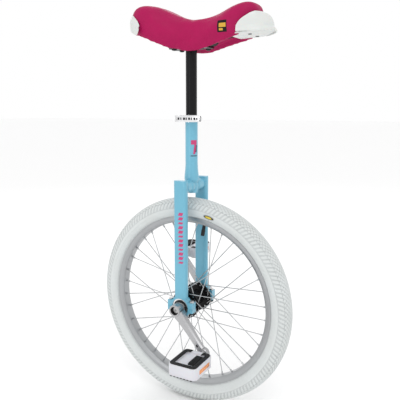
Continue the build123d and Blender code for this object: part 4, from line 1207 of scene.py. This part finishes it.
def make_stage():
    """Camera, pale floor, white surroundings and soft lights."""
    scene = bpy.context.scene
    scene.view_settings.view_transform = "Standard"
    camera = bpy.data.cameras.new("camera")
    camera.lens = CAMERA_LENS
    camera.sensor_width = 36.0
    camera_object = bpy.data.objects.new("camera", camera)
    scene.collection.objects.link(camera_object)
    camera_object.location = CAMERA_SPOT
    camera_object.rotation_euler = (math.radians(90 + CAMERA_PITCH), 0, math.radians(CAMERA_YAW))
    scene.camera = camera_object

    floor_mesh = bpy.data.meshes.new("floor")
    bm = bmesh.new()
    bmesh.ops.create_grid(bm, x_segments=1, y_segments=1, size=30.0)
    bmesh.ops.translate(bm, verts=bm.verts, vec=(0, 0, -0.0005))
    bm.to_mesh(floor_mesh)
    bm.free()
    floor = bpy.data.objects.new("floor", floor_mesh)
    scene.collection.objects.link(floor)
    floor_mesh.materials.append(Finish("floor_paper", (0.97, 0.97, 0.97), 0.9).material)

    world = bpy.data.worlds.new("studio")
    world.use_nodes = True
    world.node_tree.nodes["Background"].inputs["Color"].default_value = (1.0, 1.0, 1.0, 1.0)
    world.node_tree.nodes["Background"].inputs["Strength"].default_value = 1.0
    scene.world = world
    lights = (
        ("key_light", (1.3, -1.6, 2.9), 1.4, 1.4, 15.0),
        ("strip_light", (-0.5, -2.2, 1.0), 0.16, 1.7, 4.0),
        ("back_light", (-1.6, 2.2, 2.0), 1.2, 1.2, 8.0),
    )
    for name, spot, width, height, power in lights:
        lamp = bpy.data.lights.new(name, "AREA")
        lamp.shape = "RECTANGLE"
        lamp.size = width
        lamp.size_y = height
        lamp.energy = power
        lamp_object = bpy.data.objects.new(name, lamp)
        scene.collection.objects.link(lamp_object)
        lamp_object.location = spot
        aim = Vector((0, 0, 0.5)) - Vector(spot)
        lamp_object.rotation_euler = aim.to_track_quat("-Z", "Y").to_euler()


# ------------------------------------------------------------------ operators
class UNICYCLE_OT_stage(bpy.types.Operator):
    """Floor, lights and camera"""

    bl_idname = "unicycle.stage"
    bl_label = "Stage"

    def execute(self, context):
        make_stage()
        return {"FINISHED"}


class UNICYCLE_OT_hardware(bpy.types.Operator):
    """Finishes of the small metal and rubber pieces"""

    bl_idname = "unicycle.hardware"
    bl_label = "Hardware"

    def execute(self, context):
        make_hardware()
        return {"FINISHED"}


class UNICYCLE_OT_fork(bpy.types.Operator):
    """Painted fork, seat tube and weld beads"""

    bl_idname = "unicycle.fork"
    bl_label = "Fork"

    def execute(self, context):
        make_fork()
        return {"FINISHED"}


class UNICYCLE_OT_motifs(bpy.types.Operator):
    """Plain printed bars on the legs and seat tube"""

    bl_idname = "unicycle.motifs"
    bl_label = "Motifs"

    def execute(self, context):
        make_motifs()
        return {"FINISHED"}


class UNICYCLE_OT_clamp(bpy.types.Operator):
    """Collar, quick-release lever and its marks"""

    bl_idname = "unicycle.clamp"
    bl_label = "Seat clamp"

    def execute(self, context):
        make_clamp()
        return {"FINISHED"}


class UNICYCLE_OT_tyre(bpy.types.Operator):
    """Tyre casing and its tread blocks"""

    bl_idname = "unicycle.tyre"
    bl_label = "Tyre"

    def execute(self, context):
        make_tyre()
        return {"FINISHED"}


class UNICYCLE_OT_rim(bpy.types.Operator):
    """Turned rim"""

    bl_idname = "unicycle.rim"
    bl_label = "Rim"

    def execute(self, context):
        make_rim()
        return {"FINISHED"}


class UNICYCLE_OT_hub(bpy.types.Operator):
    """Black hub shell"""

    bl_idname = "unicycle.hub"
    bl_label = "Hub"

    def execute(self, context):
        make_hub()
        return {"FINISHED"}


class UNICYCLE_OT_spokes(bpy.types.Operator):
    """Finish of the spokes and nipples"""

    bl_idname = "unicycle.spokes"
    bl_label = "Spokes"

    def execute(self, context):
        make_spokes()
        return {"FINISHED"}


class UNICYCLE_OT_cranks(bpy.types.Operator):
    """Forged cranks, with painted shade in their recesses"""

    bl_idname = "unicycle.cranks"
    bl_label = "Cranks"

    def execute(self, context):
        make_cranks()
        return {"FINISHED"}


class UNICYCLE_OT_pedals(bpy.types.Operator):
    """Pedal bodies, treads and reflectors"""

    bl_idname = "unicycle.pedals"
    bl_label = "Pedals"

    def execute(self, context):
        make_pedals()
        return {"FINISHED"}


class UNICYCLE_OT_saddle(bpy.types.Operator):
    """Padded saddle"""

    bl_idname = "unicycle.saddle"
    bl_label = "Saddle"

    def execute(self, context):
        make_saddle()
        return {"FINISHED"}


class UNICYCLE_OT_saddle_base(bpy.types.Operator):
    """Carrier plate and its screws"""

    bl_idname = "unicycle.saddle_base"
    bl_label = "Saddle base"

    def execute(self, context):
        make_saddle_base()
        return {"FINISHED"}


class UNICYCLE_OT_bumpers(bpy.types.Operator):
    """White bumpers at the nose and tail"""

    bl_idname = "unicycle.bumpers"
    bl_label = "Bumpers"

    def execute(self, context):
        make_bumpers()
        return {"FINISHED"}


OPERATORS = (
    UNICYCLE_OT_stage,
    UNICYCLE_OT_hardware,
    UNICYCLE_OT_fork,
    UNICYCLE_OT_motifs,
    UNICYCLE_OT_clamp,
    UNICYCLE_OT_tyre,
    UNICYCLE_OT_rim,
    UNICYCLE_OT_hub,
    UNICYCLE_OT_spokes,
    UNICYCLE_OT_cranks,
    UNICYCLE_OT_pedals,
    UNICYCLE_OT_saddle,
    UNICYCLE_OT_saddle_base,
    UNICYCLE_OT_bumpers,
)


class UNICYCLE_PT_panel(bpy.types.Panel):
    """Sidebar panel that lists the pieces, sizes and colours."""

    bl_label = "Unicycle"
    bl_space_type = "VIEW_3D"
    bl_region_type = "UI"
    bl_category = "Unicycle"

    def draw(self, context):
        for operator in OPERATORS:
            self.layout.operator(operator.bl_idname)
        for group in (context.scene.unicycle_sizes, context.scene.unicycle_colours):
            for name in group.__annotations__:
                self.layout.prop(group, name)


CLASSES = (UnicycleSizes, UnicycleColours, *OPERATORS, UNICYCLE_PT_panel)


def register():
    """Register the classes and the scene properties."""
    for item in CLASSES:
        bpy.utils.register_class(item)
    bpy.types.Scene.unicycle_sizes = PointerProperty(type=UnicycleSizes)
    bpy.types.Scene.unicycle_colours = PointerProperty(type=UnicycleColours)


def unregister():
    """Undo register."""
    del bpy.types.Scene.unicycle_colours
    del bpy.types.Scene.unicycle_sizes
    for item in reversed(CLASSES):
        bpy.utils.unregister_class(item)


def main():
    """Build every piece."""
    register()
    for operator in OPERATORS:
        name = operator.bl_idname.split(".")[1]
        getattr(bpy.ops.unicycle, name)()


if __name__ == "__main__":
    main()
